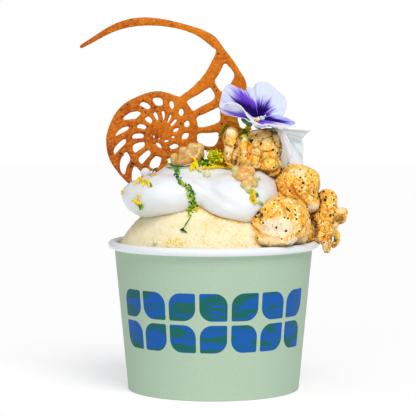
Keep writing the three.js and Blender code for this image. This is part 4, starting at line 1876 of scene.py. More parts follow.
    def loops(self) -> list[Array]:
        """The outline and every opening, as closed loops.

        Returns:
            The loops.
        """
        made = [self.outline(), *(self.bar(*row) for row in self.hidden)]
        cuts = [np.array(self.kite, float)]
        for places in self.seen:
            cut = np.array([EYE.at(x, y, self.pole[1])[[0, 2]] for x, y in places])
            cuts.append(cut - np.array(self.pole)[[0, 2]])
        for loop in cuts:
            after = np.roll(loop, -1, axis=0)
            made.append(np.stack([0.8 * loop + 0.2 * after, 0.2 * loop + 0.8 * after], 1).reshape(-1, 2))
        return made

    def inset(self, x: Array, z: Array) -> Array:
        """How far places on the plate are from its nearest edge, less than zero off the plate.

        Args:
            x: Places across from the pole.
            z: Places up from the pole.

        Returns:
            One distance for each place.
        """
        points = np.stack([x.ravel(), z.ravel()], -1)
        inside = np.zeros(len(points), bool)
        nearest = np.full(len(points), 1e9)
        for loop in self.loops():
            for a, b in zip(loop, np.roll(loop, -1, axis=0)):
                run = b - a
                t = np.clip(((points - a) @ run) / max(run @ run, 1e-12), 0, 1)
                gap = points - a - t[:, None] * run
                nearest = np.minimum(nearest, (gap * gap).sum(-1))
                if a[1] != b[1]:
                    spans = (points[:, 1] < max(a[1], b[1])) & (points[:, 1] >= min(a[1], b[1]))
                    cross = a[0] + (points[:, 1] - a[1]) * run[0] / run[1]
                    inside ^= spans & (points[:, 0] < cross)
        signed = np.where(inside, 1, -1) * np.sqrt(nearest)
        return signed.reshape(x.shape)

    def build(self) -> Piece:
        """Makes the tuile, puffed between its openings and blistered.

        Returns:
            The piece.
        """
        xs = np.arange(*self.reach_across, self.step)
        zs = np.arange(*self.reach_up, self.step)
        plan = self.inset(*np.meshgrid(xs, zs, indexing="ij"))
        soft = plan.copy()
        for _ in range(2):
            soft[1:-1, 1:-1] = (
                soft[1:-1, 1:-1] * 0.4
                + 0.15 * (soft[2:, 1:-1] + soft[:-2, 1:-1] + soft[1:-1, 2:] + soft[1:-1, :-2])
            )
        pole = np.array(self.pole)
        half = self.thickness / 2

        def read(points: Array) -> Array:
            """The inset at points of the plate's plane.

            Args:
                points: Places, in mm.

            Returns:
                One distance for each place.
            """
            u = np.clip((points[:, 0] - pole[0] - xs[0]) / self.step, 0, len(xs) - 1.001)
            w = np.clip((points[:, 2] - pole[2] - zs[0]) / self.step, 0, len(zs) - 1.001)
            i, j = u.astype(int), w.astype(int)
            fu, fw = u - i, w - j
            low = soft[i, j] * (1 - fu) + soft[i + 1, j] * fu
            return low * (1 - fw) + (soft[i, j + 1] * (1 - fu) + soft[i + 1, j + 1] * fu) * fw

        def distance(points: Array) -> Array:
            """The plate with rounded edges, a slight warp and blisters.

            Args:
                points: Places, in mm.

            Returns:
                One distance for each place.
            """
            flat = points * (1, 0, 1)
            inset = read(points)
            depth = (points[:, 1] - pole[1] - relief(flat, self.warp)) / half
            edge = np.maximum(0, self.puff - inset) / self.puff
            return (np.hypot(edge, depth) - 1) * half + relief(points, self.blisters)

        low = pole + (xs[0], -half - 0.5, zs[0])
        high = pole + (xs[-1], half + 0.5, zs[-1])
        points, faces = SurfaceNet(self.step).draw(distance, low, high)
        mesh = make_mesh("tuile_lace", points, [faces])
        local = (points - pole)[:, [0, 2]]
        # Painted shade: darker toward the bottom and left of the plate, away from the light.
        bake_and_shade = smooth(10, -30, local[:, 1]) * 0.5 + smooth(20, -30, local[:, 0]) * 0.4
        mark(mesh, "bake_and_shade", bake_and_shade + 0.3 * noise(points, 9, 14, 2))
        mesh.materials.append(TuileFinish().material())
        return add_piece("tuile_lace", mesh, ("tuile",))


# ---------------------------------------------------------------- the violas


@dataclass(frozen=True)
class Petal:
    """A petal as the camera sees it: its throat and rim are places in the picture with a depth in mm."""

    name: str
    throat: Triple
    rim: tuple[Triple, ...]
    finish: PetalFinish
    bow: float = 0.6
    ruffle: float = 0.35
    waves: float = 2.5
    fray: float = 0.0
    thickness: float = 0.22
    crimp: float = 0.18
    crimps: float = 2.7
    start: float = 0.03
    across: int = 84
    out: int = 44

    def grid(self) -> Array:
        """Points of the petal's middle surface, rows from side to side and columns outwards.

        Returns:
            The points.
        """
        throat = EYE.at(*self.throat)
        rim = along(np.array([EYE.at(*p) for p in self.rim]), self.across)
        u = np.linspace(0, 1, self.across)[:, None, None]
        v = np.linspace(self.start, 1, self.out)[None, :, None]
        facing = unit(np.cross(rim[0] - throat, rim[-1] - throat))
        facing = facing if facing[1] < 0 else -facing
        frayed = rim + unit(rim - throat) * (self.fray * noise(rim, 1.4, 17, 2))[:, None]
        points = throat + (frayed[:, None] - throat) * v
        lift = self.bow * np.sin(math.pi * v**0.9)
        lift = lift + self.ruffle * v**2 * np.sin(2 * math.pi * self.waves * u + self.rim[0][0])
        lift = lift + self.crimp * v**2 * np.sin(2 * math.pi * (self.crimps * self.waves * u + 0.3))
        return points + facing * lift

    def build(self, slot: str, stands_for: tuple[str, ...]) -> Piece:
        """Makes the petal as a thin closed shell.

        Args:
            slot: Not used.
            stands_for: The CAD node of its blossom.

        Returns:
            The piece.
        """
        middle = self.grid()
        run_u = np.gradient(middle, axis=0)
        run_v = np.gradient(middle, axis=1)
        normal = unit(np.cross(run_u, run_v))
        if normal[..., 1].mean() > 0:
            normal = -normal
        edge = np.minimum(np.linspace(0, 1, self.across), np.linspace(1, 0, self.across))[:, None]
        thin = 0.35 + 0.65 * smooth(0, 0.06, np.minimum(edge, (1 - np.linspace(0, 1, self.out))[None]))
        half = (self.thickness / 2 * thin)[..., None]
        front, back = middle + normal * half, middle - normal * half
        count = self.across * self.out
        points = np.vstack([front.reshape(-1, 3), back.reshape(-1, 3)])
        faces = grid_faces(self.across, self.out)
        first = points[faces[0]]
        if np.dot(np.cross(first[1] - first[0], first[2] - first[0]), normal[0, 0]) < 0:
            faces = faces[:, ::-1]
        ring = border(self.across, self.out)
        after = np.roll(ring, -1)
        side = np.stack([ring, after, after + count, ring + count], -1)
        runs = np.stack([faces, np.roll(faces, -1, axis=1)], -1).reshape(-1, 2)
        forward = {tuple(run) for run in runs}
        if (ring[0], after[0]) in forward:
            side = side[:, ::-1]
        everything = np.vstack([faces, faces[:, ::-1] + count, side])
        mesh = make_mesh(self.name, points, [everything])
        u, v = np.divmod(everything % count, self.out)
        lay_uv(mesh, "petal", np.stack([u / (self.across - 1), self.start + 0.97 * v / (self.out - 1)], -1))
        mesh.materials.append(self.finish.material())
        return add_piece(self.name, mesh, stands_for)


def viola_petals() -> list[tuple[Petal, str, str]]:
    """Every petal, with its material slot and the CAD node of its blossom.

    Returns:
        The petals, each with its slot and node.
    """
    violet, pale = "petals_violet", "petals_pale"
    lilac = PetalFinish(
        "petal_lilac", srgb(212, 214, 244), srgb(106, 64, 206), srgb(30, 2, 92), 0.46, 0.42, 10, 0.4, 0.24,
        0.42, 0.72, 0.26,
    )
    upper = PetalFinish(
        "petal_upper", srgb(214, 222, 242), srgb(104, 56, 214), srgb(26, 0, 88), 0.42, 0.3, 9, 0.14, 0.6,
        0.08, 0.6, 0.1,
    )
    under = PetalFinish(
        "petal_under", srgb(226, 228, 246), srgb(112, 88, 200), srgb(44, 14, 124), 0.34, 0.12, 5, 0.2, 0.6,
        0.5, 0.85, 0.6,
    )
    right = PetalFinish(
        "petal_right", srgb(176, 186, 232), srgb(92, 66, 200), srgb(30, 2, 96), 0.6, 0.46, 6, 0.3, 0.7, 0.2,
        0.75, 0.2,
    )
    lip = PetalFinish(
        "petal_lip", srgb(218, 216, 232), srgb(122, 88, 214), srgb(60, 30, 120), 0.42, 0.1, 5, 0.2, 0.3, 0.3,
    )
    ivory = PetalFinish(
        "petal_ivory", srgb(240, 244, 250), srgb(180, 182, 206), srgb(150, 150, 180), 0.1, -0.5, 8, 0.2,
    )
    mist = PetalFinish(
        "petal_mist", srgb(236, 246, 252), srgb(140, 150, 186), srgb(110, 110, 150), 0.14, -0.3, 6, 0.12,
    )
    blush = PetalFinish(
        "petal_blush", srgb(240, 245, 250), srgb(190, 192, 200), srgb(150, 150, 170), 0.1, -0.3, 12, 0.3,
    )
    front, back = "viola_front", "viola_back"
    return [
        (
            Petal(
                "viola_upper_petal", (258.5, 117.5, -8),
                (
                    (255.5, 110, -7.5), (252.5, 102, -6.5), (248.5, 94, -5), (246, 88.5, -4),
                    (249, 87.2, -4), (252, 88.2, -4), (254.5, 86.4, -4), (256, 83.4, -4), (259, 82.2, -3.6),
                    (263, 81.6, -3.2), (268, 83, -3), (274, 87.4, -3), (280, 92.6, -3.4), (284.6, 97, -4),
                    (286.7, 102, -5), (286.4, 108, -6.4), (284.6, 114, -7.6), (281, 117.8, -8.4),
                    (272, 117.5, -8.6),
                ),
                upper, 0.8, 0.3, 3.0,
            ),
            violet, front,
        ),
        (
            Petal(
                "viola_left_petal", (257.5, 118, -10),
                (
                    (256.8, 109, -9.6), (254.6, 101.6, -9), (251.2, 95.4, -8), (247.5, 91.6, -7.4),
                    (243.6, 90, -7), (240, 88.2, -6.6), (236, 86.4, -6.4), (231, 84.1, -6.4),
                    (227, 84.6, -6.6), (223, 89.4, -7.4), (220.8, 96, -8.4), (219.8, 102, -9.6),
                    (219.8, 107.4, -11), (226, 109.5, -12), (236, 112, -12.4), (246, 117, -12),
                ),
                lilac, 0.7, 0.3, 2.5,
            ),
            violet, front,
        ),
        (
            Petal(
                "viola_right_petal", (261.5, 119.5, -10.5),
                (
                    (267, 116.6, -10), (275, 114.6, -9.4), (283, 117, -9), (290, 119.6, -9.6),
                    (294.6, 121.8, -10.4), (294.8, 124, -11.4), (290, 124.8, -12), (283, 125.4, -12.6),
                    (276, 125, -13), (269, 124, -13),
                ),
                right, 0.4, 0.3, 2.0,
            ),
            violet, front,
        ),
        (
            Petal(
                "viola_left_curl", (257, 122.4, -12.6),
                (
                    (249, 118.2, -13.2), (245.6, 113.4, -13.6), (241.4, 108.6, -13.8), (237, 104.8, -13.8),
                    (232.4, 103.4, -13.4), (228.4, 104.6, -13), (224.4, 107, -12.4), (220.4, 108.4, -11.6),
                    (220.6, 111.4, -12), (225, 114.2, -12.8), (231, 116, -13.4), (237, 117.2, -13.8),
                    (243, 118.4, -14), (249, 122, -14),
                ),
                under, 0.5, 0.2, 2.0,
            ),
            violet, front,
        ),
        (
            Petal(
                "viola_lip", (259.5, 120, -12.4),
                (
                    (252, 120.4, -14.4), (249.4, 121.4, -15.6), (252.6, 124.4, -17), (257, 126.9, -18.4),
                    (262.4, 128.2, -19), (268, 126.6, -18.4), (274, 127.4, -17.6), (281, 128.6, -16.6),
                    (289, 127.2, -15.6), (296.6, 127.8, -14.4), (291, 125.4, -13.6), (282, 126, -13.6),
                    (273, 124.2, -13.6), (267.4, 121.4, -13.2),
                ),
                lip, 0.3, 0.25, 3.5,
            ),
            violet, front,
        ),
        (
            Petal(
                "viola_back_strip", (271, 128, 3),
                (
                    (276, 126.6, 2.6), (284, 127.2, 2.2), (291, 130, 2), (297, 131.4, 1.6),
                    (299.4, 130.4, 1.4), (302, 131.4, 1.2), (306, 130, 0.8), (310.2, 130.6, 0.6),
                    (306.6, 134, 1.2), (301, 139.2, 2.4), (294, 136.6, 3), (286, 135.8, 3.4),
                    (278, 134, 3.6),
                ),
                mist, 0.3, 0.3, 3.0, 0.3,
            ),
            pale, back,
        ),
        (
            Petal(
                "viola_back_broad", (279, 127, 6),
                (
                    (288, 132.6, 5.6), (296, 135.4, 5.2), (301, 138.6, 4.8), (303, 144, 4.4),
                    (304, 149.6, 4.2), (302.8, 155, 4), (303.2, 160, 4), (302.4, 166, 3.6), (296, 170, 3.4),
                    (289, 170, 3.2), (284.6, 160, 3.4), (282, 148, 4), (280, 137, 5),
                ),
                mist, 0.6, 0.5, 2.0,
            ),
            pale, back,
        ),
        (
            Petal(
                "viola_back_small", (293, 172, 1.6),
                (
                    (288, 165.6, 1.6), (288.4, 160.8, 1.8), (290.6, 158, 2), (294, 157.4, 2),
                    (297.4, 159.4, 1.8), (300, 162.2, 1.6), (302.6, 165.4, 1.4), (302, 170, 1.2),
                ),
                ivory, 0.6, 0.2, 1.5,
            ),
            pale, back,
        ),
        (
            Petal(
                "viola_back_near", (279, 126.6, 4),
                (
                    (283, 132.4, 3.6), (286.4, 136, 3), (289.4, 141, 2.2), (291.6, 147, 1.4),
                    (291.8, 153, 0.8), (290, 158.6, 0.4), (287, 164, 0.4), (283.4, 169, 0.8),
                    (279.6, 168, 1.4), (278, 158, 2), (277.6, 146, 2.8), (277.4, 135, 3.6),
                ),
                blush, 0.9, 0.2, 2.0,
            ),
            pale, back,
        ),
    ]


# ---------------------------------------------------------------- small shapes and the trees that place them


def small_ball(detail: int, halves: Triple, rough: float, seed: int) -> Mesh:
    """An uneven little ball for the trees to copy.

    Args:
        detail: How finely it is faceted.
        halves: Half its width, depth and height.
        rough: How uneven it is, as a share of its size.
        seed: Which unevenness.

    Returns:
        The mesh.
    """
    work = bmesh.new()
    bmesh.ops.create_icosphere(work, subdivisions=detail, radius=1)
    points = np.array([v.co for v in work.verts])
    faces = np.array([[v.index for v in f.verts] for f in work.faces])
    work.free()
    points = points * (1 + rough * noise(points + 10, 0.9, seed, 2))[:, None] * halves
    return make_mesh("small_ball", points, [faces])


def curled_leaf(length: float, width: float, curl: float, lobes: float) -> Mesh:
    """A small curled leaf or shred, with scalloped sides.

    Args:
        length: Its length.
        width: Its width.
        curl: How far it turns up, in radians.
        lobes: How many scallops it has.

    Returns:
        The mesh.
    """
    t = np.linspace(0, 1, 9)
    half = width / 2 * np.sin(math.pi * (0.08 + 0.88 * t)) * (1 + 0.3 * np.cos(lobes * math.pi * t))
    spine = np.stack([np.sin(curl * t) / curl * length, 0 * t, (1 - np.cos(curl * t)) / curl * length], -1)
    rise = 0.22 * half
    rows = [spine + (0, s * 1, 0) * half[:, None] + (0, 0, 1) * (abs(s) * rise)[:, None] for s in (-1, 0, 1)]
    top = np.stack(rows)
    thick = np.array([0, 0, 0.05 * width + 0.03])
    points = np.vstack([(top + thick).reshape(-1, 3), (top - thick).reshape(-1, 3)])
    faces = grid_faces(3, len(t))
    count = 3 * len(t)
    ring = border(3, len(t))
    after = np.roll(ring, -1)
    side = np.stack([after, ring, ring + count, after + count], -1)
    points = points - (length * 0.4, 0, 0)
    return make_mesh("curled_leaf", points, [faces[:, ::-1], faces + count, side[:, ::-1]])


class GardenTrees:
    """The Geometry Nodes trees that place small shapes, scatter them, or draw strands along lines."""

    def __init__(self) -> None:
        """Builds the three trees."""
        self.placed = self._placed_tree()
        self.scattered = self._scattered_tree()
        self.strands = self._strand_tree()

    def _open(self, name: str, **inputs: str) -> tuple[Graph, Sockets]:
        """Starts a tree with named inputs and one mesh coming out.

        Args:
            name: The tree's name.
            inputs: The kind of each input's socket, by label.

        Returns:
            The tree's graph and the inputs' sockets.
        """
        tree = bpy.data.node_groups.new(name, "GeometryNodeTree")
        for label, kind in inputs.items():
            tree.interface.new_socket(label, in_out="INPUT", socket_type=f"NodeSocket{kind}")
        tree.interface.new_socket("Made", in_out="OUTPUT", socket_type="NodeSocketGeometry")
        graph = Graph(tree)
        return graph, graph.node("NodeGroupInput").outputs

    def _close(self, graph: Graph, shape: bpy.types.Node, finish: Socket) -> Tree:
        """Ends a tree: copies made real, shaded smooth and given their material.

        Args:
            graph: The tree's graph.
            shape: The node that the geometry comes from.
            finish: The material's input.

        Returns:
            The tree.
        """
        real = graph.node("GeometryNodeRealizeInstances", {}, {"Geometry": shape})
        soft = graph.node("GeometryNodeSetShadeSmooth", {}, {"Geometry": real})
        dressed = graph.node("GeometryNodeSetMaterial", {}, {"Geometry": soft, "Material": finish})
        graph.node("NodeGroupOutput", {}, {0: dressed})
        return graph.tree

    def _copied(self, graph: Graph, given: Sockets, points: Socket, **set_by: Socket) -> Tree:
        """Ends a tree with a copy of its shape on every point.

        Args:
            graph: The tree's graph.
            given: Its inputs' sockets.
            points: Where the copies go.
            set_by: What turns and sizes them, by the name of the copying node's socket.

        Returns:
            The tree.
        """
        shape = graph.node("GeometryNodeObjectInfo", {}, {"Object": given["Shape"]}).outputs["Geometry"]
        inputs = {"Points": points, "Instance": shape, **set_by}
        copies = graph.node("GeometryNodeInstanceOnPoints", {}, inputs)
        return self._close(graph, copies, given["Finish"])

    def _named(self, graph: Graph, name: str, kind: str) -> bpy.types.Node:
        """An attribute of the points, by name."""
        return graph.node("GeometryNodeInputNamedAttribute", {"data_type": kind}, {"Name": name})

    def _placed_tree(self) -> Tree:
        """A copy on every point, turned and sized as the point's attributes say.

        Returns:
            The tree.
        """
        kinds = {"Points": "Geometry", "Shape": "Object", "Size": "Float", "Finish": "Material"}
        graph, given = self._open("placed_copies", **kinds)
        turn = graph.node("FunctionNodeEulerToRotation", {}, {0: self._named(graph, "turn", "FLOAT_VECTOR")})
        inputs = {0: self._named(graph, "size", "FLOAT_VECTOR"), "Scale": given["Size"]}
        size = graph.node("ShaderNodeVectorMath", {"operation": "SCALE"}, inputs)
        return self._copied(graph, given, given["Points"], Rotation=turn, Scale=size)

    def _scattered_tree(self) -> Tree:
        """Copies scattered over a surface at random, lying on it.

        Returns:
            The tree.
        """
        kinds = {"Surface": "Geometry", "Shape": "Object", "Density": "Float", "Smallest": "Float"}
        kinds |= {"Largest": "Float", "Seed": "Int", "Finish": "Material"}
        graph, given = self._open("scattered_copies", **kinds)
        inputs = {"Mesh": given["Surface"], "Density": given["Density"], "Seed": given["Seed"]}
        spots = graph.node("GeometryNodeDistributePointsOnFaces", {}, inputs).outputs
        random = "FunctionNodeRandomValue"
        spin = graph.node(random, {"data_type": "FLOAT_VECTOR"}, {0: (0, 0, 0), 1: (0.3, 0.3, 6.28), 8: 3})
        twist = graph.node("FunctionNodeEulerToRotation", {}, {0: spin})
        inputs = {0: spots["Rotation"], 1: twist}
        turn = graph.node("FunctionNodeRotateRotation", {"rotation_space": "LOCAL"}, inputs)
        size = graph.node(random, {"data_type": "FLOAT"}, {2: given["Smallest"], 3: given["Largest"], 8: 5})
        return self._copied(graph, given, spots["Points"], Rotation=turn, Scale=size.outputs[1])

    def _strand_tree(self) -> Tree:
        """A thin strand along every line, as thick as the line's points say.

        Returns:
            The tree.
        """
        graph, given = self._open("strands", Lines="Geometry", Flatness="Vector", Finish="Material")
        curve = graph.node("GeometryNodeMeshToCurve", {}, {"Mesh": given["Lines"]})
        circle = graph.node("GeometryNodeCurvePrimitiveCircle", {}, {"Resolution": 7, "Radius": 1.0})
        flat = graph.node("GeometryNodeTransform", {}, {"Geometry": circle, "Scale": given["Flatness"]})
        inputs = {"Curve": curve, "Profile Curve": flat, "Scale": self._named(graph, "girth", "FLOAT")}
        tube = graph.node("GeometryNodeCurveToMesh", {}, {**inputs, "Fill Caps": True})
        return self._close(graph, tube, given["Finish"])

    @staticmethod
    def run(tree: Tree, mesh: Mesh, name: str, values: dict) -> Mesh:
        """Runs a tree on a mesh and returns the plain mesh that comes out.

        Args:
            tree: The tree.
            mesh: What goes in.
            name: The new mesh's name.
            values: The tree's other inputs, by label.

        Returns:
            The new mesh.
        """
        host = bpy.data.objects.new("host", mesh)
        bpy.context.scene.collection.objects.link(host)
        modifier = host.modifiers.new("made", "NODES")
        modifier.node_group = tree
        for item in tree.interface.items_tree:
            if item.in_out == "INPUT" and item.name in values:
                modifier[item.identifier] = values[item.name]
        graph = bpy.context.evaluated_depsgraph_get()
        made = bpy.data.meshes.new_from_object(host.evaluated_get(graph), depsgraph=graph)
        made.name = name
        host.modifiers.clear()
        bpy.data.objects.remove(host)
        for spare in ("turn", "size", "girth"):
            if spare in made.attributes:
                made.attributes.remove(made.attributes[spare])
        return made


@dataclass(frozen=True)
class Spot:
    """One small shape: where it is, which way it is turned, how large it is, and its tint."""

    point: Array
    turn: Triple
    size: Triple
    tint: float = 0.5


class Garnisher:
    """Lays small things on the built pieces, where the camera sees them."""

    flatness: Triple = (1.0, 0.55, 1.0)
    towards_camera: Triple = (0, -0.8, 0.6)

    def __init__(self, trees: GardenTrees, seed: int) -> None:
        """Starts with no ground.

        Args:
            trees: The trees that make the shapes.
            seed: Which random draws.
        """
        self.trees = trees
        self.random = np.random.default_rng(seed)
        self.ground: list[BVHTree] = []

    def lie_on(self, *pieces: Piece) -> None:
        """Adds pieces that small things lie on."""
        graph = bpy.context.evaluated_depsgraph_get()
        self.ground += [BVHTree.FromObject(piece, graph) for piece in pieces]

    def meet(self, x: float, y: float, depth: float | None = None) -> tuple[Array, Array] | None:
        """Where the view through a place in the picture meets a surface.

        Args:
            x: The place, from the left.
            y: The place, from the top.
            depth: If given, the point lies at this Y, unless a surface is nearer.

        Returns:
            The point and the surface's normal, or None where there is nothing.
        """
        origin, ray = Vector(EYE.origin * MM), Vector(EYE.ray(x, y))
        best = None
        for tree in self.ground:
            point, normal, _, far = tree.ray_cast(origin, ray)
            if point is not None and (best is None or far < best[2]):
                best = (np.array(point) / MM, np.array(normal), far)
        if depth is not None:
            place = EYE.at(x, y, depth)
            if best is None or np.linalg.norm(place - EYE.origin) * MM < best[2]:
                return place, unit(np.array(self.towards_camera))
        return None if best is None else (best[0], best[1])

    def lying(self, normal: Array, spin: float, tip: float = 0.0) -> Triple:
        """The turn that lays a shape on a surface with that normal, spun about it and tipped.

        Args:
            normal: The surface's normal.
            spin: The spin about it.
            tip: How far it tips.

        Returns:
            The turn.
        """
        turn = Vector(normal).to_track_quat("Z", "Y").to_matrix()
        turn = turn @ Matrix.Rotation(spin, 3, "Z") @ Matrix.Rotation(tip, 3, "Y")
        return tuple(turn.to_euler())

    def anyhow(self) -> Triple:
        """A random turn."""
        return tuple(self.random.uniform(0, 2 * math.pi, 3))

    def copies(
        self, name: str, shape: Mesh, spots: list[Spot], finish: Finish, slot: str
    ) -> Piece:
        """A piece with one copy of a shape for every spot.

        Args:
            name: The piece's name.
            shape: What is copied.
            spots: Where the copies go.
            finish: Their finish.
            slot: Not used.

        Returns:
            The piece.
        """
        points = bpy.data.meshes.new("points")
        points.from_pydata([tuple(s.point * MM) for s in spots], [], [])
        for label, rows in (("turn", [s.turn for s in spots]), ("size", [s.size for s in spots])):
            layer = points.attributes.new(label, "FLOAT_VECTOR", "POINT")
            layer.data.foreach_set("vector", np.array(rows, np.float32).ravel())
        mark(points, "tint", np.array([s.tint for s in spots]))
        holder = bpy.data.objects.new("shape", shape)
        values = {"Shape": holder, "Size": 1.0, "Finish": finish.material()}
        made = self.trees.run(self.trees.placed, points, name, values)
        bpy.data.objects.remove(holder)
        return add_piece(name, made)

    def scatter(
        self,
        name: str,
        shape: Mesh,
        ground: Piece,
        density: float,
        sizes: Place,
        seed: int,
        finish: Finish,
    ) -> Piece:
        """A piece of copies scattered at random over another piece.

        Args:
            name: The piece's name.
            shape: What is copied.
            ground: What it lies on.
            density: Copies on each square centimetre.
            sizes: The smallest and the largest size.
            seed: Which random places.
            finish: The copies' finish.

        Returns:
            The piece.
        """
        holder = bpy.data.objects.new("shape", shape)
        values = {"Shape": holder, "Density": density * 1e4, "Smallest": sizes[0], "Largest": sizes[1]}
        values |= {"Seed": seed, "Finish": finish.material()}
        made = self.trees.run(self.trees.scattered, ground.data.copy(), name, values)
        bpy.data.objects.remove(holder)
        return add_piece(name, made)

    def strands(self, name: str, lines: list["Strand"], finish: Finish, slot: str) -> Piece:
        """A piece with a thin strand along every line.

        Args:
            name: The piece's name.
            lines: The strands.
            finish: Their finish.
            slot: Not used.

        Returns:
            The piece.
        """
        points, edges, girths, tints = [], [], [], []
        for line in lines:
            count = 6 + 2 * len(line.places)
            met = [self.meet(x, y, line.depth) for x, y in along(line.places, count)]
            path = [hit for hit in met if hit is not None]
            if len(path) < 3:
                log.warning("a strand near %s meets nothing", line.places[0])
                continue
            share = np.linspace(0, 1, len(path))
            rise = line.girth * 0.6 + line.lift * np.sin(math.pi * share)
            rows = np.array([p + n * r for (p, n), r in zip(path, rise)])
            rows[1:-1] = (rows[:-2] + 2 * rows[1:-1] + rows[2:]) / 4
            start = len(points)
            points += [tuple(row * MM) for row in rows]
            edges += [(start + i, start + i + 1) for i in range(len(rows) - 1)]
            wavy = 1 + 0.25 * np.sin(9 * share + start)
            taper = 0.35 + 0.65 * np.sin(math.pi * (0.1 + 0.8 * share))
            girths += list(1.25 * line.girth * MM * wavy * taper)
            tints += list(np.clip(line.shade.value + 0.12 * np.sin(7 * share + start), 0, 1))
        mesh = bpy.data.meshes.new("lines")
        mesh.from_pydata(points, edges, [])
        mark(mesh, "girth", np.array(girths))
        mark(mesh, "tint", np.array(tints))
        values = {"Flatness": self.flatness, "Finish": finish.material()}
        return add_piece(name, self.trees.run(self.trees.strands, mesh, name, values))


class Shade(Enum):
    """Tints of herbs and zest, from the darkest green to yellow."""

    DEEP = 0.0
    GREEN = 0.32
    LIME = 0.66
    YELLOW = 1.0


DEEP, GREEN, LIME, YELLOW = Shade


@dataclass(frozen=True)
class HerbFinish(Finish):
    """Herbs and zest, each piece in its own tint."""

    title: str = "herbs_and_zest"
    deep: Colour = srgb(14, 66, 0)
    green: Colour = srgb(66, 144, 0)
    lime: Colour = srgb(186, 204, 24)
    yellow: Colour = srgb(252, 214, 0)

    def sockets(self, graph: Graph) -> dict:
        """Four shades in a row, mottled, with a moist gloss.

        Args:
            graph: The material's nodes.

        Returns:
            Values and links for the shader's sockets.
        """
        mottle = graph.noise(1.0, 3)
        tint = graph.marked("tint") + (mottle - 0.5) * 0.35
        colour = graph.blend(tint.rises(0.0, 0.33), self.deep, self.green)
        colour = graph.blend(tint.rises(0.33, 0.66), colour, self.lime)
        colour = graph.blend(tint.rises(0.66, 0.95), colour, self.yellow)
        return {
            "Base Color": colour,
            "Roughness": 0.5,
            "Specular IOR Level": 0.2,
            "Subsurface Weight": 0.15,
            "Subsurface Radius": (1.0, 1.2, 0.4),
            "Subsurface Scale": 0.0004,
            "Coat Weight": 0.1,
            "Coat Roughness": 0.2,
            "Normal": graph.bump(mottle, 0.1, 0.6),
        }


@dataclass(frozen=True)
class Strand:
    """A thin strand along places in the picture."""

    places: tuple[Place, ...]
    shade: Shade
    girth: float = 0.32
    lift: float = 0.5
    depth: float | None = None


@dataclass(frozen=True)
class Crumbs:
    """Crumbs strewn along places in the picture."""

    places: tuple[Place, ...]
    count: int
    spread: float
    shades: tuple[Shade, ...]
    largest: float = 0.72
    depth: float | None = None


@dataclass(frozen=True)
class Leaf:
    """A curled leaf or shred lying at a place in the picture, turned in it by degrees from the right."""

    place: Place
    turn: float
    length: float
    width: float
    shade: Shade
    tip: float = -0.3
    depth: float | None = None


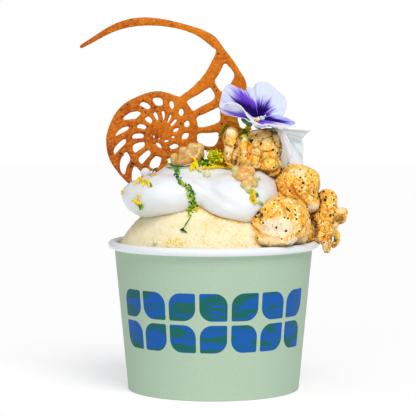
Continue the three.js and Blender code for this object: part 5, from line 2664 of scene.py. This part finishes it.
@dataclass
class Garnish:
    """Everything small that lies on the cup's contents."""

    crumb_line: tuple[Crumbs, ...] = (
        Crumbs(((176.5, 169), (177.5, 177.5)), 40, 1.3, (DEEP, GREEN, GREEN)),
        Crumbs(((179, 179), (181, 184)), 10, 0.7, (GREEN,)),
        Crumbs(((181, 183), (186, 186.5)), 34, 1.2, (DEEP, GREEN, LIME)),
        Crumbs(((186, 187.5), (190, 189.5)), 22, 0.9, (GREEN, LIME)),
        Crumbs(((190, 190), (193, 195)), 36, 1.3, (DEEP, GREEN)),
        Crumbs(((190.5, 196), (193.5, 201.5)), 38, 1.4, (DEEP, GREEN, LIME)),
        Crumbs(((191, 203), (195.5, 206)), 36, 1.5, (DEEP, GREEN, LIME)),
        Crumbs(((194.5, 204), (196, 211)), 20, 0.9, (LIME, YELLOW)),
        Crumbs(((190.5, 206), (189.5, 215)), 40, 1.2, (GREEN, LIME)),
    )
    heap: tuple[Crumbs, ...] = (
        Crumbs(((200, 163), (205, 165), (210, 166)), 80, 1.7, (GREEN, DEEP, LIME), 0.8),
        Crumbs(((206, 161), (213, 162), (224, 163)), 40, 1.2, (YELLOW, LIME), 0.9, -2),
        Crumbs(((207.6, 158), (213, 154.6), (218, 154), (221, 157)), 70, 1.5, (LIME, YELLOW), 0.85, -6.4),
        Crumbs(((209, 160.6), (215, 159.6), (222, 160.6)), 44, 1.2, (LIME, YELLOW, GREEN), 0.9, -7),
        Crumbs(((203, 168), (214, 167), (229, 167)), 50, 1.0, (YELLOW,), 0.8),
        Crumbs(((150, 184), (151, 186)), 8, 0.6, (GREEN,)),
        Crumbs(((140, 203), (142.5, 209)), 22, 0.9, (GREEN, LIME)),
        Crumbs(((251, 190), (253, 196), (254, 203)), 34, 1.3, (YELLOW, YELLOW, LIME)),
        Crumbs(((255, 193), (257.5, 196)), 14, 0.8, (GREEN,)),
        Crumbs(((243, 131), (247, 136)), 22, 1.4, (GREEN, LIME)),
        Crumbs(((215, 134), (219, 137)), 16, 1.5, (GREEN, LIME)),
    )
    strands: tuple[Strand, ...] = (
        Strand(((142.5, 166.8), (145, 167.5), (147.5, 166.8)), DEEP, 0.42),
        Strand(((149.8, 165), (152, 168), (154, 170.6)), LIME, 0.3),
        Strand(((150.5, 166.6), (154, 167.8), (158.3, 166.8)), DEEP, 0.55),
        Strand(((157, 168), (153.5, 170.5), (149.5, 175.6)), DEEP, 0.38),
        Strand(((165.6, 166.5), (166.6, 164.4), (168.6, 164.2), (168.2, 165.8)), LIME, 0.25),
        Strand(((169, 167), (171, 168), (173.5, 167.4)), LIME, 0.25),
        Strand(((170, 164.8), (174, 166.8), (180, 168), (188, 167.4), (195, 164)), DEEP, 0.5, 0.6),
        Strand(((166.5, 167.2), (172, 169), (180, 169.6)), GREEN, 0.3),
        Strand(((177, 178), (178.6, 181), (181.4, 185.4)), GREEN, 0.3, 0.2),
        Strand(((191.4, 215), (189.6, 219), (186.6, 223.6), (184, 228)), GREEN, 0.3, 0.2),
        Strand(((180.4, 229.6), (184, 231), (187.4, 232.8)), DEEP, 0.45, 0.2),
        Strand(((196, 168), (198.6, 171.4), (202.4, 172.4)), LIME, 0.34),
        Strand(((197, 162), (194, 164), (191.4, 168), (191, 172)), YELLOW, 0.75, 0.5),
        Strand(((150, 176.6), (153, 176.2), (155.4, 174.6), (157, 175.4)), YELLOW, 0.42, 0.2),
        Strand(((138, 183.8), (139.6, 180.6), (142.4, 180.6), (144, 183.4)), YELLOW, 0.55, 0.8),
        Strand(((140, 184.4), (142, 181.8), (145, 182.2)), LIME, 0.4, 0.6),
        Strand(((144, 182), (147, 181.6), (149.4, 184.2), (149.8, 187)), YELLOW, 0.6, 0.7),
        Strand(((143.6, 187), (145, 184), (147, 183.4)), YELLOW, 0.4, 0.5),
        Strand(((134, 187), (135.4, 184.6), (137.4, 182.8)), YELLOW, 0.28, 0.3),
        Strand(((138.4, 199), (138.6, 196), (140.6, 195.4), (141.4, 198)), YELLOW, 0.36, 0.6),
        Strand(((133, 201), (136, 199.6), (139, 201.4), (142, 203.6)), YELLOW, 0.7, 0.7),
        Strand(((135, 203.4), (138, 204), (140.6, 207)), LIME, 0.35, 0.4),
        Strand(((122.6, 195), (123.4, 192), (124.4, 189.6)), YELLOW, 0.4, 0.5),
        Strand(((258, 200.4), (260.6, 202.6), (264, 203.4)), LIME, 0.36, 0.4),
        Strand(((257, 203), (260, 204.6), (262.6, 205.2)), GREEN, 0.3, 0.4),
        Strand(((254, 178), (257, 180), (260.4, 179.6)), LIME, 0.3, 0.6),
        Strand(((256, 182), (258, 180), (259.6, 177.6)), LIME, 0.26, 0.6),
        Strand(((251, 189), (253.4, 192), (252.6, 196), (254.6, 200), (254, 204)), YELLOW, 0.6, 0.7),
        Strand(((228, 121), (231, 119.8), (234.6, 121.6), (238, 123.4)), LIME, 0.32, 0.5),
        Strand(((230, 124.2), (226, 125), (223.4, 128.4), (222, 132), (218, 136.4)), GREEN, 0.42, 0.5),
        Strand(((222.4, 127), (224, 129.4), (225.8, 127.6)), LIME, 0.3, 0.4),
        Strand(((237.6, 126), (240, 128.2), (242.6, 127.4)), LIME, 0.3, 0.5),
        Strand(((194, 157.4), (195, 162), (196.4, 167), (198, 171)), YELLOW, 0.8, 0.5),
        Strand(((206, 152.6), (208, 151.4), (209.6, 151.8)), LIME, 0.4, 0, -1),
        Strand(((205, 166.6), (212, 163.4), (219, 166), (231, 165.6)), YELLOW, 0.55, 0.7),
        Strand(((211, 161.6), (219, 163), (226, 161.8), (231.4, 165)), YELLOW, 0.5, 0.7),
        Strand(((206, 168.6), (214, 168), (222, 168.6), (229, 168.4)), YELLOW, 0.55, 0.4),
        Strand(((218, 165.6), (223, 167), (230, 167.6)), YELLOW, 0.5, 0.5),
        Strand(((208, 164), (213, 166.4), (217, 168)), YELLOW, 0.45, 0.4),
        Strand(((199, 166), (199.4, 162), (203, 159.6)), DEEP, 0.5, 0.4),
        Strand(((203, 163), (208, 160.4), (212, 160.6)), DEEP, 0.45, 0.4),
        Strand(((213, 163), (211.4, 158), (211, 153.4)), LIME, 0.5, 0.3, -4.6),
        Strand(((215, 162), (215.4, 156), (216.4, 150.4)), LIME, 0.5, 0.3, -4.6),
        Strand(((217, 162), (219, 156.6), (221, 153.4)), LIME, 0.5, 0.3, -4.6),
        Strand(((219, 163), (221.6, 159), (222.6, 155.6)), GREEN, 0.45, 0.3, -4.6),
        Strand(((213, 157), (216, 155), (219, 156)), YELLOW, 0.4, 0.3, -4.6),
        Strand(((212, 160.6), (218, 158.4), (223.4, 161.6)), LIME, 0.5, 0.4, -5),
    )
    leaves: tuple[Leaf, ...] = (
        Leaf((192.8, 169), 50, 3.4, 2.0, YELLOW), Leaf((212, 157), 30, 4.2, 2.2, LIME, -0.3, -6),
        Leaf((211, 153.4), 100, 3.4, 1.8, LIME, -0.3, -6), Leaf((220, 157.6), 330, 4.0, 2.0, LIME, -0.3, -6),
        Leaf((216.4, 151.6), 80, 2.6, 1.4, LIME, -0.3, -5.4), Leaf((204, 165.6), 200, 3.6, 1.8, GREEN),
        Leaf((207.6, 167), 350, 2.8, 1.3, DEEP), Leaf((202, 161.6), 120, 3.2, 1.6, DEEP),
        Leaf((222, 164.6), 0, 3.4, 1.6, YELLOW), Leaf((204, 169), 10, 3.6, 1.4, YELLOW),
        Leaf((183.6, 230.6), 330, 3.4, 1.4, DEEP), Leaf((142, 206.4), 285, 3.6, 1.5, GREEN),
        Leaf((137.6, 201.4), 340, 3.4, 1.7, YELLOW), Leaf((248.4, 128.6), 75, 4.4, 2.8, YELLOW, -0.6),
        Leaf((246, 131.6), 75, 4.4, 2.6, LIME, -0.6), Leaf((245, 134.6), 100, 4.4, 2.2, GREEN, -0.6),
        Leaf((241, 139.2), 220, 2.8, 1.5, GREEN), Leaf((250, 138), 10, 3.0, 1.4, YELLOW),
        Leaf((217.4, 136.4), 215, 4.6, 2.4, LIME, -0.5), Leaf((214.6, 139.4), 240, 3.0, 1.6, GREEN, -0.5),
        Leaf((252.4, 192.4), 60, 3.0, 1.6, YELLOW), Leaf((253.4, 200), 280, 3.2, 1.7, YELLOW),
        Leaf((250.4, 197.6), 200, 2.0, 1.2, LIME), Leaf((166.2, 161.4), 190, 2.2, 1.2, LIME),
    )
    pepper: tuple[tuple[float, ...], ...] = (
        (236.5, 138.5, 0.45), (238, 136.5), (255.5, 135.5), (257, 134.3), (262.5, 138.3),
        (271.3, 136.3, 0.62), (272.5, 139.3), (261, 144, 0.75), (274.5, 143, 0.5), (273, 149.7, 0.7),
        (277.5, 153, 0.8), (280, 147.5, 0.55), (281.5, 148.3), (276.5, 134), (275, 131.5),
        (245.5, 156, 0.45), (240.7, 154.7, 0.45), (250, 154.5), (261, 157.3, 0.55), (259.3, 161.3),
        (237.5, 146.5, 0.5), (227, 153.3), (255, 148.7, 0.34), (267, 151.3), (239.5, 164.3, 0.5),
        (251.5, 165.5), (232, 162.5, 0.5), (228, 162.5), (273.7, 167.5, 0.5), (234.7, 145, 0.5),
        (234.6, 148, 0.6), (235.6, 161, 0.6), (236, 163.5, 0.5), (280, 160, 0.5), (251.6, 141, 0.95),
        (250, 141.4, 0.6), (264, 152, 0.34), (268, 162, 0.34), (258, 168, 0.34), (281.5, 173, 0.5),
        (288.5, 166.5), (300.3, 169.5, 0.5), (311, 175, 0.45), (300.5, 177.5, 0.5), (303, 183, 0.75),
        (299, 180.3), (305, 177), (302, 187.5, 0.5), (281, 187.5, 0.45), (289.5, 191.3, 0.55),
        (299.8, 191.2, 0.5), (313.5, 192.5, 0.6), (317.5, 198, 0.5), (319.5, 196.5), (319, 193.5, 0.5),
        (286.5, 197.3), (278, 191, 0.45), (294, 172, 0.34), (309, 185, 0.34), (295, 199, 0.34),
        (285, 179, 0.34), (256, 209, 0.75), (254.5, 212, 0.5), (261.5, 215.5, 0.8), (258, 214, 0.5),
        (256, 217, 0.5), (251.5, 219, 0.5), (252, 223.5, 0.5), (260.7, 220, 0.45), (263, 222.8, 0.6),
        (276.5, 227.5, 0.62), (286, 230.8, 0.6), (287, 208.2, 0.55), (288.2, 209.6, 0.6), (289.3, 211, 0.45),
        (295, 210, 0.5), (295.5, 215, 0.5), (288, 218.3, 0.5), (284.5, 217.5), (296.5, 219, 0.5),
        (265.5, 209.3), (274, 204), (279, 200.3), (307, 207, 0.5), (309, 218, 0.5), (255, 234.5),
        (257.5, 238), (281.5, 239), (299, 231, 0.5), (303, 226), (268, 212, 0.34), (280, 212, 0.34),
        (301, 213, 0.34), (271, 217, 0.34), (323.5, 191.5, 0.6), (332, 193.5, 0.5), (326, 196.7, 0.5),
        (325.5, 200, 0.95), (334, 199.5, 0.5), (320.5, 201.5, 0.5), (320, 207, 0.6), (319.5, 212, 0.55),
        (330.5, 209, 0.55), (334, 205), (335, 212, 0.5), (330.3, 215.3, 0.8), (333.5, 215.5, 0.5),
        (313.5, 217.8, 0.6), (311, 220, 0.6), (333.5, 223, 0.5), (329, 229, 0.5), (325.5, 230.5, 0.8),
        (315.5, 227.5, 0.5), (323.5, 232, 0.5), (324.5, 236, 0.5), (318, 240, 0.45), (324, 242.5, 0.45),
        (323, 248, 0.4), (327, 206, 0.4), (316, 222, 0.5), (321, 222, 0.4),
    )
    grain_size: float = 0.42
    grain_growth: float = 1.15
    dust_density: float = 9.0
    dust_sizes: Place = (0.08, 0.24)
    dust_seed: int = 5
    russet: tuple[Place, ...] = (
        (272.5, 224.5), (272.5, 226.5), (277, 233.5), (268, 231), (281, 224), (266, 226),
    )
    flecks: tuple[Crumbs, ...] = (
        Crumbs(((166, 244), (176, 242), (186, 245)), 60, 2.6, (YELLOW,), 0.6),
        Crumbs(((200, 238), (215, 230), (235, 232), (244, 240)), 84, 6.0, (YELLOW,), 0.42),
        Crumbs(((205, 240), (225, 243), (240, 244)), 40, 3.0, (YELLOW,), 0.38),
    )

    def _crumb_spots(self, tool: Garnisher, rows: tuple[Crumbs, ...], sink: float) -> list[Spot]:
        """Spots for crumbs.

        Args:
            tool: What lays it on the built pieces.
            rows: The crumbs.
            sink: How far one stands out, as a share of its size.

        Returns:
            The spots.
        """
        spots = []
        for crumbs in rows:
            path = along(crumbs.places, 60)
            for _ in range(crumbs.count):
                x, y = path[tool.random.integers(60)] + tool.random.normal(0, crumbs.spread, 2)
                hit = tool.meet(x, y, crumbs.depth)
                if hit is None:
                    continue
                if crumbs.depth is not None:
                    hit = (hit[0] + np.array([0, tool.random.normal(0, 1.2), 0]), hit[1])
                size = crumbs.largest * tool.random.uniform(0.45, 1)
                shape = size * tool.random.uniform(0.7, 1.3, 3)
                shade = crumbs.shades[tool.random.integers(len(crumbs.shades))]
                tint = float(np.clip(shade.value + tool.random.normal(0, 0.07), 0, 1))
                spots.append(Spot(hit[0] + hit[1] * size * sink, tool.anyhow(), tuple(shape), tint))
        return spots

    def _leaf_spots(self, tool: Garnisher) -> list[Spot]:
        """Spots for leaves, each turned in the picture as it says.

        Args:
            tool: What lays it on the built pieces.

        Returns:
            The spots.
        """
        spots = []
        for leaf in self.leaves:
            hit = tool.meet(*leaf.place, leaf.depth)
            if hit is None:
                log.warning("a leaf at %s meets nothing", leaf.place)
                continue
            point, normal = hit
            up = unit(normal + np.array([0, -0.6, 0.4]))
            turn = math.radians(leaf.turn)
            ahead = Vector((math.cos(turn), 0, math.sin(turn)))
            up = Vector(up)
            ahead = (ahead - up * ahead.dot(up)).normalized()
            side = up.cross(ahead)
            turned = Matrix((ahead, side, up)).transposed() @ Matrix.Rotation(leaf.tip, 3, "Y")
            size = (leaf.length, leaf.width, leaf.length * 0.8)
            spots.append(Spot(point + np.array(up) * 0.6, tuple(turned.to_euler()), size, leaf.shade.value))
        return spots

    def build(self, tool: Garnisher, corns: list[Piece], tuile: Tuile, plate: Piece) -> None:
        """Makes all the garnish.

        Args:
            tool: What lays it, with its ground.
            corns: The popcorn pieces.
            tuile: The tuile's sizes.
            plate: The tuile's piece.
        """
        herbs = HerbFinish()
        crumb = small_ball(1, (1, 0.8, 0.6), 0.35, 3)
        tool.copies("herb_crumbs", crumb, self._crumb_spots(tool, self.crumb_line, 0.4), herbs, "sorbet")
        tool.copies("zest_crumbs", crumb, self._crumb_spots(tool, self.heap, 0.6), herbs, "sorbet")
        tool.copies("herb_leaves", curled_leaf(1, 1, 1.4, 5), self._leaf_spots(tool), herbs, "sorbet")
        tool.strands("herb_strands", list(self.strands), herbs, "sorbet")
        flecks = PlainFinish("sorbet_fleck", srgb(255, 220, 50), srgb(255, 228, 110), 0.6, 0.7, 0.0)
        fleck = small_ball(1, (1, 0.8, 0.6), 0.3, 5)
        tool.copies("zest_flecks", fleck, self._crumb_spots(tool, self.flecks, 0.15), flecks, "sorbet")
        black = PlainFinish("cracked_pepper", srgb(12, 6, 4), srgb(44, 22, 10), 0.5, 0.7, 0.0)
        grain = small_ball(1, (1, 0.85, 0.7), 0.4, 8)
        corn_tool = Garnisher(tool.trees, 9)
        corn_tool.lie_on(*corns)
        spots = []
        for x, y, *given in self.pepper:
            hit = corn_tool.meet(x, y)
            if hit is None:
                log.warning("a speck at %s meets nothing", (x, y))
                continue
            size = given[0] if given else self.grain_size
            spin = tool.random.uniform(0, 6.3)
            shape = self.grain_growth * size * tool.random.uniform(0.8, 1.15, 3)
            spots.append(Spot(hit[0], tool.lying(hit[1], spin), (*shape[:2], shape[2] * 0.8)))
        tool.copies("pepper_grains", grain, spots, black, "popcorn")
        for number, corn in enumerate(corns):
            name = f"pepper_dust_{number + 1}"
            seed = self.dust_seed + number
            tool.scatter(name, grain, corn, self.dust_density, self.dust_sizes, seed, black)
        rust = PlainFinish("russet_spice", srgb(150, 52, 20), srgb(190, 90, 30), 0.5, 0.5, 0.1)
        hits = [tool.meet(*p) for p in self.russet]
        spots = [Spot(h[0], tool.lying(h[1], 0), (0.32, 0.3, 0.25)) for h in hits if h is not None]
        tool.copies("russet_grains", grain, spots, rust, "popcorn")
        seeds = PlainFinish("tuile_seed", srgb(24, 20, 24), srgb(62, 44, 34), 0.6, 0.45, 0.2)
        graph = bpy.context.evaluated_depsgraph_get()
        surface = BVHTree.FromObject(plate, graph)
        spots = []
        for x, y, size in tuile.seeds:
            point, normal, _, _ = surface.ray_cast(Vector(EYE.origin * MM), Vector(EYE.ray(x, y)))
            if point is None:
                log.warning("a seed at %s meets nothing", (x, y))
                continue
            shape = (size * 1.1, size * 0.9, size * 0.7)
            spots.append(Spot(np.array(point) / MM, tool.lying(np.array(normal), x), shape))
        for spot in list(spots):
            behind = Vector((spot.point[0] + 1.3, 60, spot.point[2] - 0.9)) * MM
            point, normal, _, _ = surface.ray_cast(behind, Vector((0, -1, 0)))
            if point is not None:
                spots.append(Spot(np.array(point) / MM, tool.lying(np.array(normal), 1), spot.size))
        tool.copies("tuile_seeds", small_ball(1, (1, 1, 1), 0.25, 4), spots, seeds, "tuile")


@dataclass(frozen=True)
class Heap:
    """Pearls that cling together: a place in the picture, a depth, half sizes in mm, and a tint for each."""

    name: str
    pearls: tuple[tuple[float, ...], ...]
    stands_for: tuple[str, ...]
    finish: PearlFinish
    melt: float = 0.5
    rough: float = 0.1

    def build(self, tool: Garnisher, step: float = 0.28) -> Piece:
        """Makes the heap as one lumpy piece.

        Args:
            tool: What finds the places. A pearl without a depth lies on what the camera sees behind it.
            step: How finely the surface is drawn, in mm.

        Returns:
            The piece.
        """
        rows = []
        for x, y, depth, *halves, _ in self.pearls:
            point, normal = tool.meet(x, y, depth)
            rows.append((*(point + normal * 0.4), *halves))
        body = Body(tuple(rows), self.melt)

        def distance(points: Array) -> Array:
            """The heap's surface.

            Args:
                points: Places, in mm.

            Returns:
                One distance for each place.
            """
            total = body.distance(points)
            near = np.abs(total) < 1.5
            total[near] += self.rough * noise(points[near], 2.0, 61, 2)
            return total

        points, faces = SurfaceNet(step).draw(distance, *body.box(0.5))
        mesh = make_mesh(self.name, points, [faces])
        centres, halves = np.array(rows)[:, :3], np.array(rows)[:, 3:]
        away = np.linalg.norm((points[:, None] - centres) / halves, axis=-1)
        share = np.exp(-6 * away)
        tints = np.array([pearl[-1] for pearl in self.pearls])
        mark(mesh, "tint", (share * tints).sum(1) / share.sum(1))
        mesh.materials.append(self.finish.material())
        return add_piece(self.name, mesh, self.stands_for)


@dataclass
class Pearls:
    """The two heaps of citrus pearls and the loose ones."""

    heaps: tuple[Heap, ...] = (
        Heap(
            "pearls_heap",
            (
                (174.6, 158.6, -5, 1.9, 2, 2.3, 0.1), (184, 152.2, -4.4, 2.5, 2.3, 2.4, 0.4),
                (188.6, 155.6, -6.4, 2.3, 2.0, 2.4, 0.2), (192.6, 148.2, -4, 2.5, 2.3, 2.2, 0.1),
                (198.8, 148.2, -4, 2.6, 2.3, 2.2, 0.15), (198, 154.6, -5, 3.0, 2.4, 2.6, 0.7),
                (176.4, 162.4, -6.4, 2.6, 2.3, 2.2, 0.4), (181.6, 160.2, -7, 2.7, 2.4, 2.6, 0.75),
                (186.4, 162.4, -8, 2.7, 2.3, 2.4, 0.9), (191.6, 160, -7, 2.7, 2.4, 2.5, 0.85),
                (181.6, 164, -8.4, 2.6, 2.0, 1.9, 0.75), (196.4, 158.6, -6.4, 2.4, 2.2, 2.0, 0.8),
            ),
            ("pearls_top",), PearlFinish("amber_pearl", srgb(224, 196, 122), srgb(206, 142, 26)), 1.0, 0.3,
        ),
        Heap(
            "pearls_chunks",
            (
                (236, 170.6, None, 2.4, 2.1, 2.6, 0.0), (245, 171, -19.6, 2.5, 2.2, 2.5, 1.0),
                (250.4, 172.4, -19.6, 2.1, 2, 2.6, 0.7), (238.4, 176.4, None, 2.9, 1.9, 2.4, 0.3),
                (244, 179.4, None, 4.2, 2.1, 3.1, 0.7), (250, 183, None, 2.7, 2, 2.6, 0.7),
                (246.4, 185.8, None, 2.7, 1.9, 2.3, 0.55), (254.6, 185, None, 1.5, 1.6, 1.6, 0.5),
                (248.4, 190.4, None, 1.6, 1.2, 1.5, 0.0),
            ),
            ("pearls_front",), PearlFinish("honey_pearl", srgb(242, 220, 150), srgb(246, 160, 40)), 1.4, 0.3,
        ),
    )
    loose: tuple[tuple[float, ...], ...] = ((206.5, 175.6, 1.7, 2.1, 0.05), (156, 243, 0.85, 1.3, 0.0))
    blush: tuple[float, ...] = (145.6, 172.6, 2.3, 2.2)

    def build(self, tool: Garnisher) -> list[Piece]:
        """Makes every pearl.

        Args:
            tool: What lays it on the built pieces.

        Returns:
            The pieces.
        """
        bead = small_ball(4, (1, 1, 1), 0.07, 2)
        pieces = [heap.build(tool) for heap in self.heaps]
        spots = []
        for x, y, wide, high, tint in self.loose:
            point, normal = tool.meet(x, y)
            spots.append(Spot(point + normal * 0.8, (0, 0, 0), (wide, 1.2, high), tint))
        pale = PearlFinish("pale_pearl", srgb(242, 226, 180), srgb(240, 222, 170))
        pieces.append(tool.copies("pearls_loose", bead, spots, pale, "pearls"))
        x, y, wide, high = self.blush
        point = EYE.at(x, y, -4)
        rosy = PearlFinish("rosy_pearl", srgb(232, 222, 232), srgb(240, 230, 236))
        spots = [Spot(point, (0, 0, 0), (wide, 1.9, high))]
        pieces.append(tool.copies("pearl_rosy", bead, spots, rosy, "pearls"))
        return pieces


@dataclass
class FlowerHearts:
    """The middles of the violas, with their stigmas, rolled petal rims and calyxes."""

    rolled: tuple['Strand', ...] = (
        Strand(
            (
                (219.8, 107.6), (223, 105.2), (229, 103.4), (236, 104), (241, 107), (244.6, 111.6),
                (248, 116.8), (254, 121),
            ),
            LIME, 0.55, 0, -14.6,
        ),
        Strand(((246, 115), (250, 119.6), (256, 123.2), (262, 125.8), (268, 124.8)), LIME, 0.5, 0, -19),
        Strand(((262, 125.6), (269, 124.6), (277, 126.2), (286, 127), (296, 126.6)), LIME, 0.45, 0, -18),
    )

    def build(self, tool: Garnisher) -> None:
        """Makes the small parts of both blossoms.

        Args:
            tool: What lays it on the built pieces.
        """
        ball = small_ball(3, (1, 1, 1), 0.1, 9)
        gold = PlainFinish("viola_eye", srgb(250, 168, 10), srgb(252, 196, 30), 0.6, 0.5, 0.1)
        spots = [
            Spot(EYE.at(255.8, 119.6, -15.5), (0, 0.25, 0), (0.9, 0.8, 0.6)),
            Spot(EYE.at(258, 120.4, -15.8), (0, -0.1, 0), (0.75, 0.8, 0.5)),
        ]
        tool.copies("viola_eye", ball, spots, gold, "petals_violet")
        white = PlainFinish("viola_stigma", srgb(188, 188, 222), srgb(222, 222, 238), 0.6, 0.5, 0.1)
        spots = [
            Spot(EYE.at(262, 118, -15), (0, 0.3, 0), (1.3, 0.8, 1.0)),
            Spot(EYE.at(264.6, 116, -14.6), (0, -0.7, 0), (0.9, 0.5, 0.35)),
        ]
        tool.copies("viola_stigma", ball, spots, white, "petals_violet")
        hem = PlainFinish("petal_hem", srgb(230, 232, 246), srgb(244, 245, 252), 0.6, 0.6, 0.0)
        tool.strands("viola_rolled_rims", list(self.rolled), hem, "petals_violet")
        green = PlainFinish("viola_calyx", srgb(44, 104, 28), srgb(88, 150, 50), 1.2, 0.5, 0.15)
        spots = [
            Spot(EYE.at(245.4, 121, -7), (0, 0.6, 0), (2.4, 1.6, 1.2)),
            Spot(EYE.at(248.8, 123.6, -7), (0, 0.5, 0), (1.8, 1.4, 1.3)),
            Spot(np.array([20.6, -6.0, 120.6]), (0, 0, 0), (2.4, 2.6, 1.8)),
            Spot(np.array([24.4, -5.4, 121.4]), (0, 0.3, 0), (2.6, 2.0, 1.4)),
            Spot(np.array([28, 5, 116.4]), (0, 0, 0), (2.2, 2.2, 2.2)),
            Spot(np.array([27.6, 3.6, 118.4]), (0.4, 0.3, 0), (1.4, 1.6, 1.0)),
        ]
        tool.copies("viola_calyxes", ball, spots, green, "petals_violet")


# ---------------------------------------------------------------- the studio


@dataclass
class Studio:
    """A plain pale floor, an even sky and soft lights."""

    floor_half: float = 2.5
    sky: float = 0.25
    sky_tint: Colour = (0.82, 0.93, 1.0, 1)
    white: Colour = (1, 1, 1, 1)
    suns: tuple[tuple[str, Triple, float, float, Triple], ...] = (
        ("key", (23, -57, 78), 1.8, 30, (1.0, 0.965, 0.925)),
        ("top", (-10, -14, 60), 0.6, 60, (1.0, 1.0, 1.0)),
        ("fill", (-14, -60, 8), 0.7, 60, (1.0, 0.985, 0.96)),
    )

    def build(self) -> None:
        """Makes the floor, the sky and the lights."""
        scene = bpy.context.scene
        scene.view_settings.view_transform = "Standard"
        half = self.floor_half
        mesh = bpy.data.meshes.new("floor")
        corners = [(-half, -half, 0), (half, -half, 0), (half, half, 0), (-half, half, 0)]
        mesh.from_pydata(corners, [], [(0, 1, 2, 3)])
        floor = bpy.data.objects.new("floor", mesh)
        scene.collection.objects.link(floor)
        mesh.materials.append(FloorFinish().material())
        world = bpy.data.worlds.new("studio")
        world.use_nodes = True
        scene.world = world
        graph = Graph(world.node_tree)
        world.node_tree.nodes.clear()
        seen = graph.node("ShaderNodeLightPath").outputs["Is Camera Ray"]
        soft = graph.node("ShaderNodeBackground", {}, {"Color": self.sky_tint, "Strength": self.sky})
        white = graph.node("ShaderNodeBackground", {}, {"Color": self.white, "Strength": 1.0})
        both = graph.node("ShaderNodeMixShader", {}, {0: seen, 1: soft, 2: white})
        graph.node("ShaderNodeOutputWorld", {}, {"Surface": both})
        for row in self.suns:
            self.sun(*row)

    def sun(self, name: str, source: Triple, power: float, width: float, tint: Triple) -> None:
        """Adds a soft light that comes from a direction.

        Args:
            name: Its name.
            source: The direction that it comes from.
            power: Its strength.
            width: How wide it looks, in degrees.
            tint: Its colour.
        """
        data = bpy.data.lights.new(name, "SUN")
        data.energy = power
        data.angle = math.radians(width)
        data.color = tint
        lamp = bpy.data.objects.new(name, data)
        lamp.rotation_euler = Vector(source).to_track_quat("Z", "Y").to_euler()
        bpy.context.scene.collection.objects.link(lamp)


@dataclass(frozen=True)
class FloorFinish(Finish):
    """A plain pale floor."""

    title: str = "pale_floor"
    colour: Colour = (0.56, 0.56, 0.56, 1)
    glow: Colour = (0.5, 0.49, 0.5, 1)

    def sockets(self, graph: Graph) -> dict:
        """Even and without gloss, lit a little from below, as a photographer's light table is.

        Args:
            graph: The material's nodes.

        Returns:
            Values and links for the shader's sockets.
        """
        return {
            "Base Color": self.colour,
            "Roughness": 0.9,
            "Specular IOR Level": 0.1,
            "Emission Color": self.glow,
            "Emission Strength": 1.0,
        }


def main() -> None:
    """Builds every piece in order."""
    logging.basicConfig(level=logging.INFO, format="%(message)s")
    EYE.make()
    Studio().build()
    cup = PaperCup()
    sorbet = Sorbet()
    cream = Cream()
    corns = popcorn_pieces()
    lying = [cream.body, *(corn.body for corn in corns)]
    pieces = [cup.build_wall(), cup.build_base(), sorbet.build(cup, lying)]
    white = cream.build(sorbet, corns)
    popped = [corn.build(sorbet, cup, corns[:i]) for i, corn in enumerate(corns)]
    tuile = Tuile()
    plate = tuile.build()
    tool = Garnisher(GardenTrees(), 4)
    tool.lie_on(pieces[-1], white, *popped)
    heaps = Pearls().build(tool)
    tool.lie_on(*heaps)
    pieces += [white, *popped, plate, *heaps]
    for petal, slot, node in viola_petals():
        pieces.append(petal.build(slot, (node,)))
    FlowerHearts().build(tool)
    tool.lie_on(plate)
    Garnish().build(tool, popped, tuile, plate)
    for piece in pieces:
        log.info("%s: %d faces", piece.name, len(piece.data.polygons))


if __name__ == "__main__":
    main()
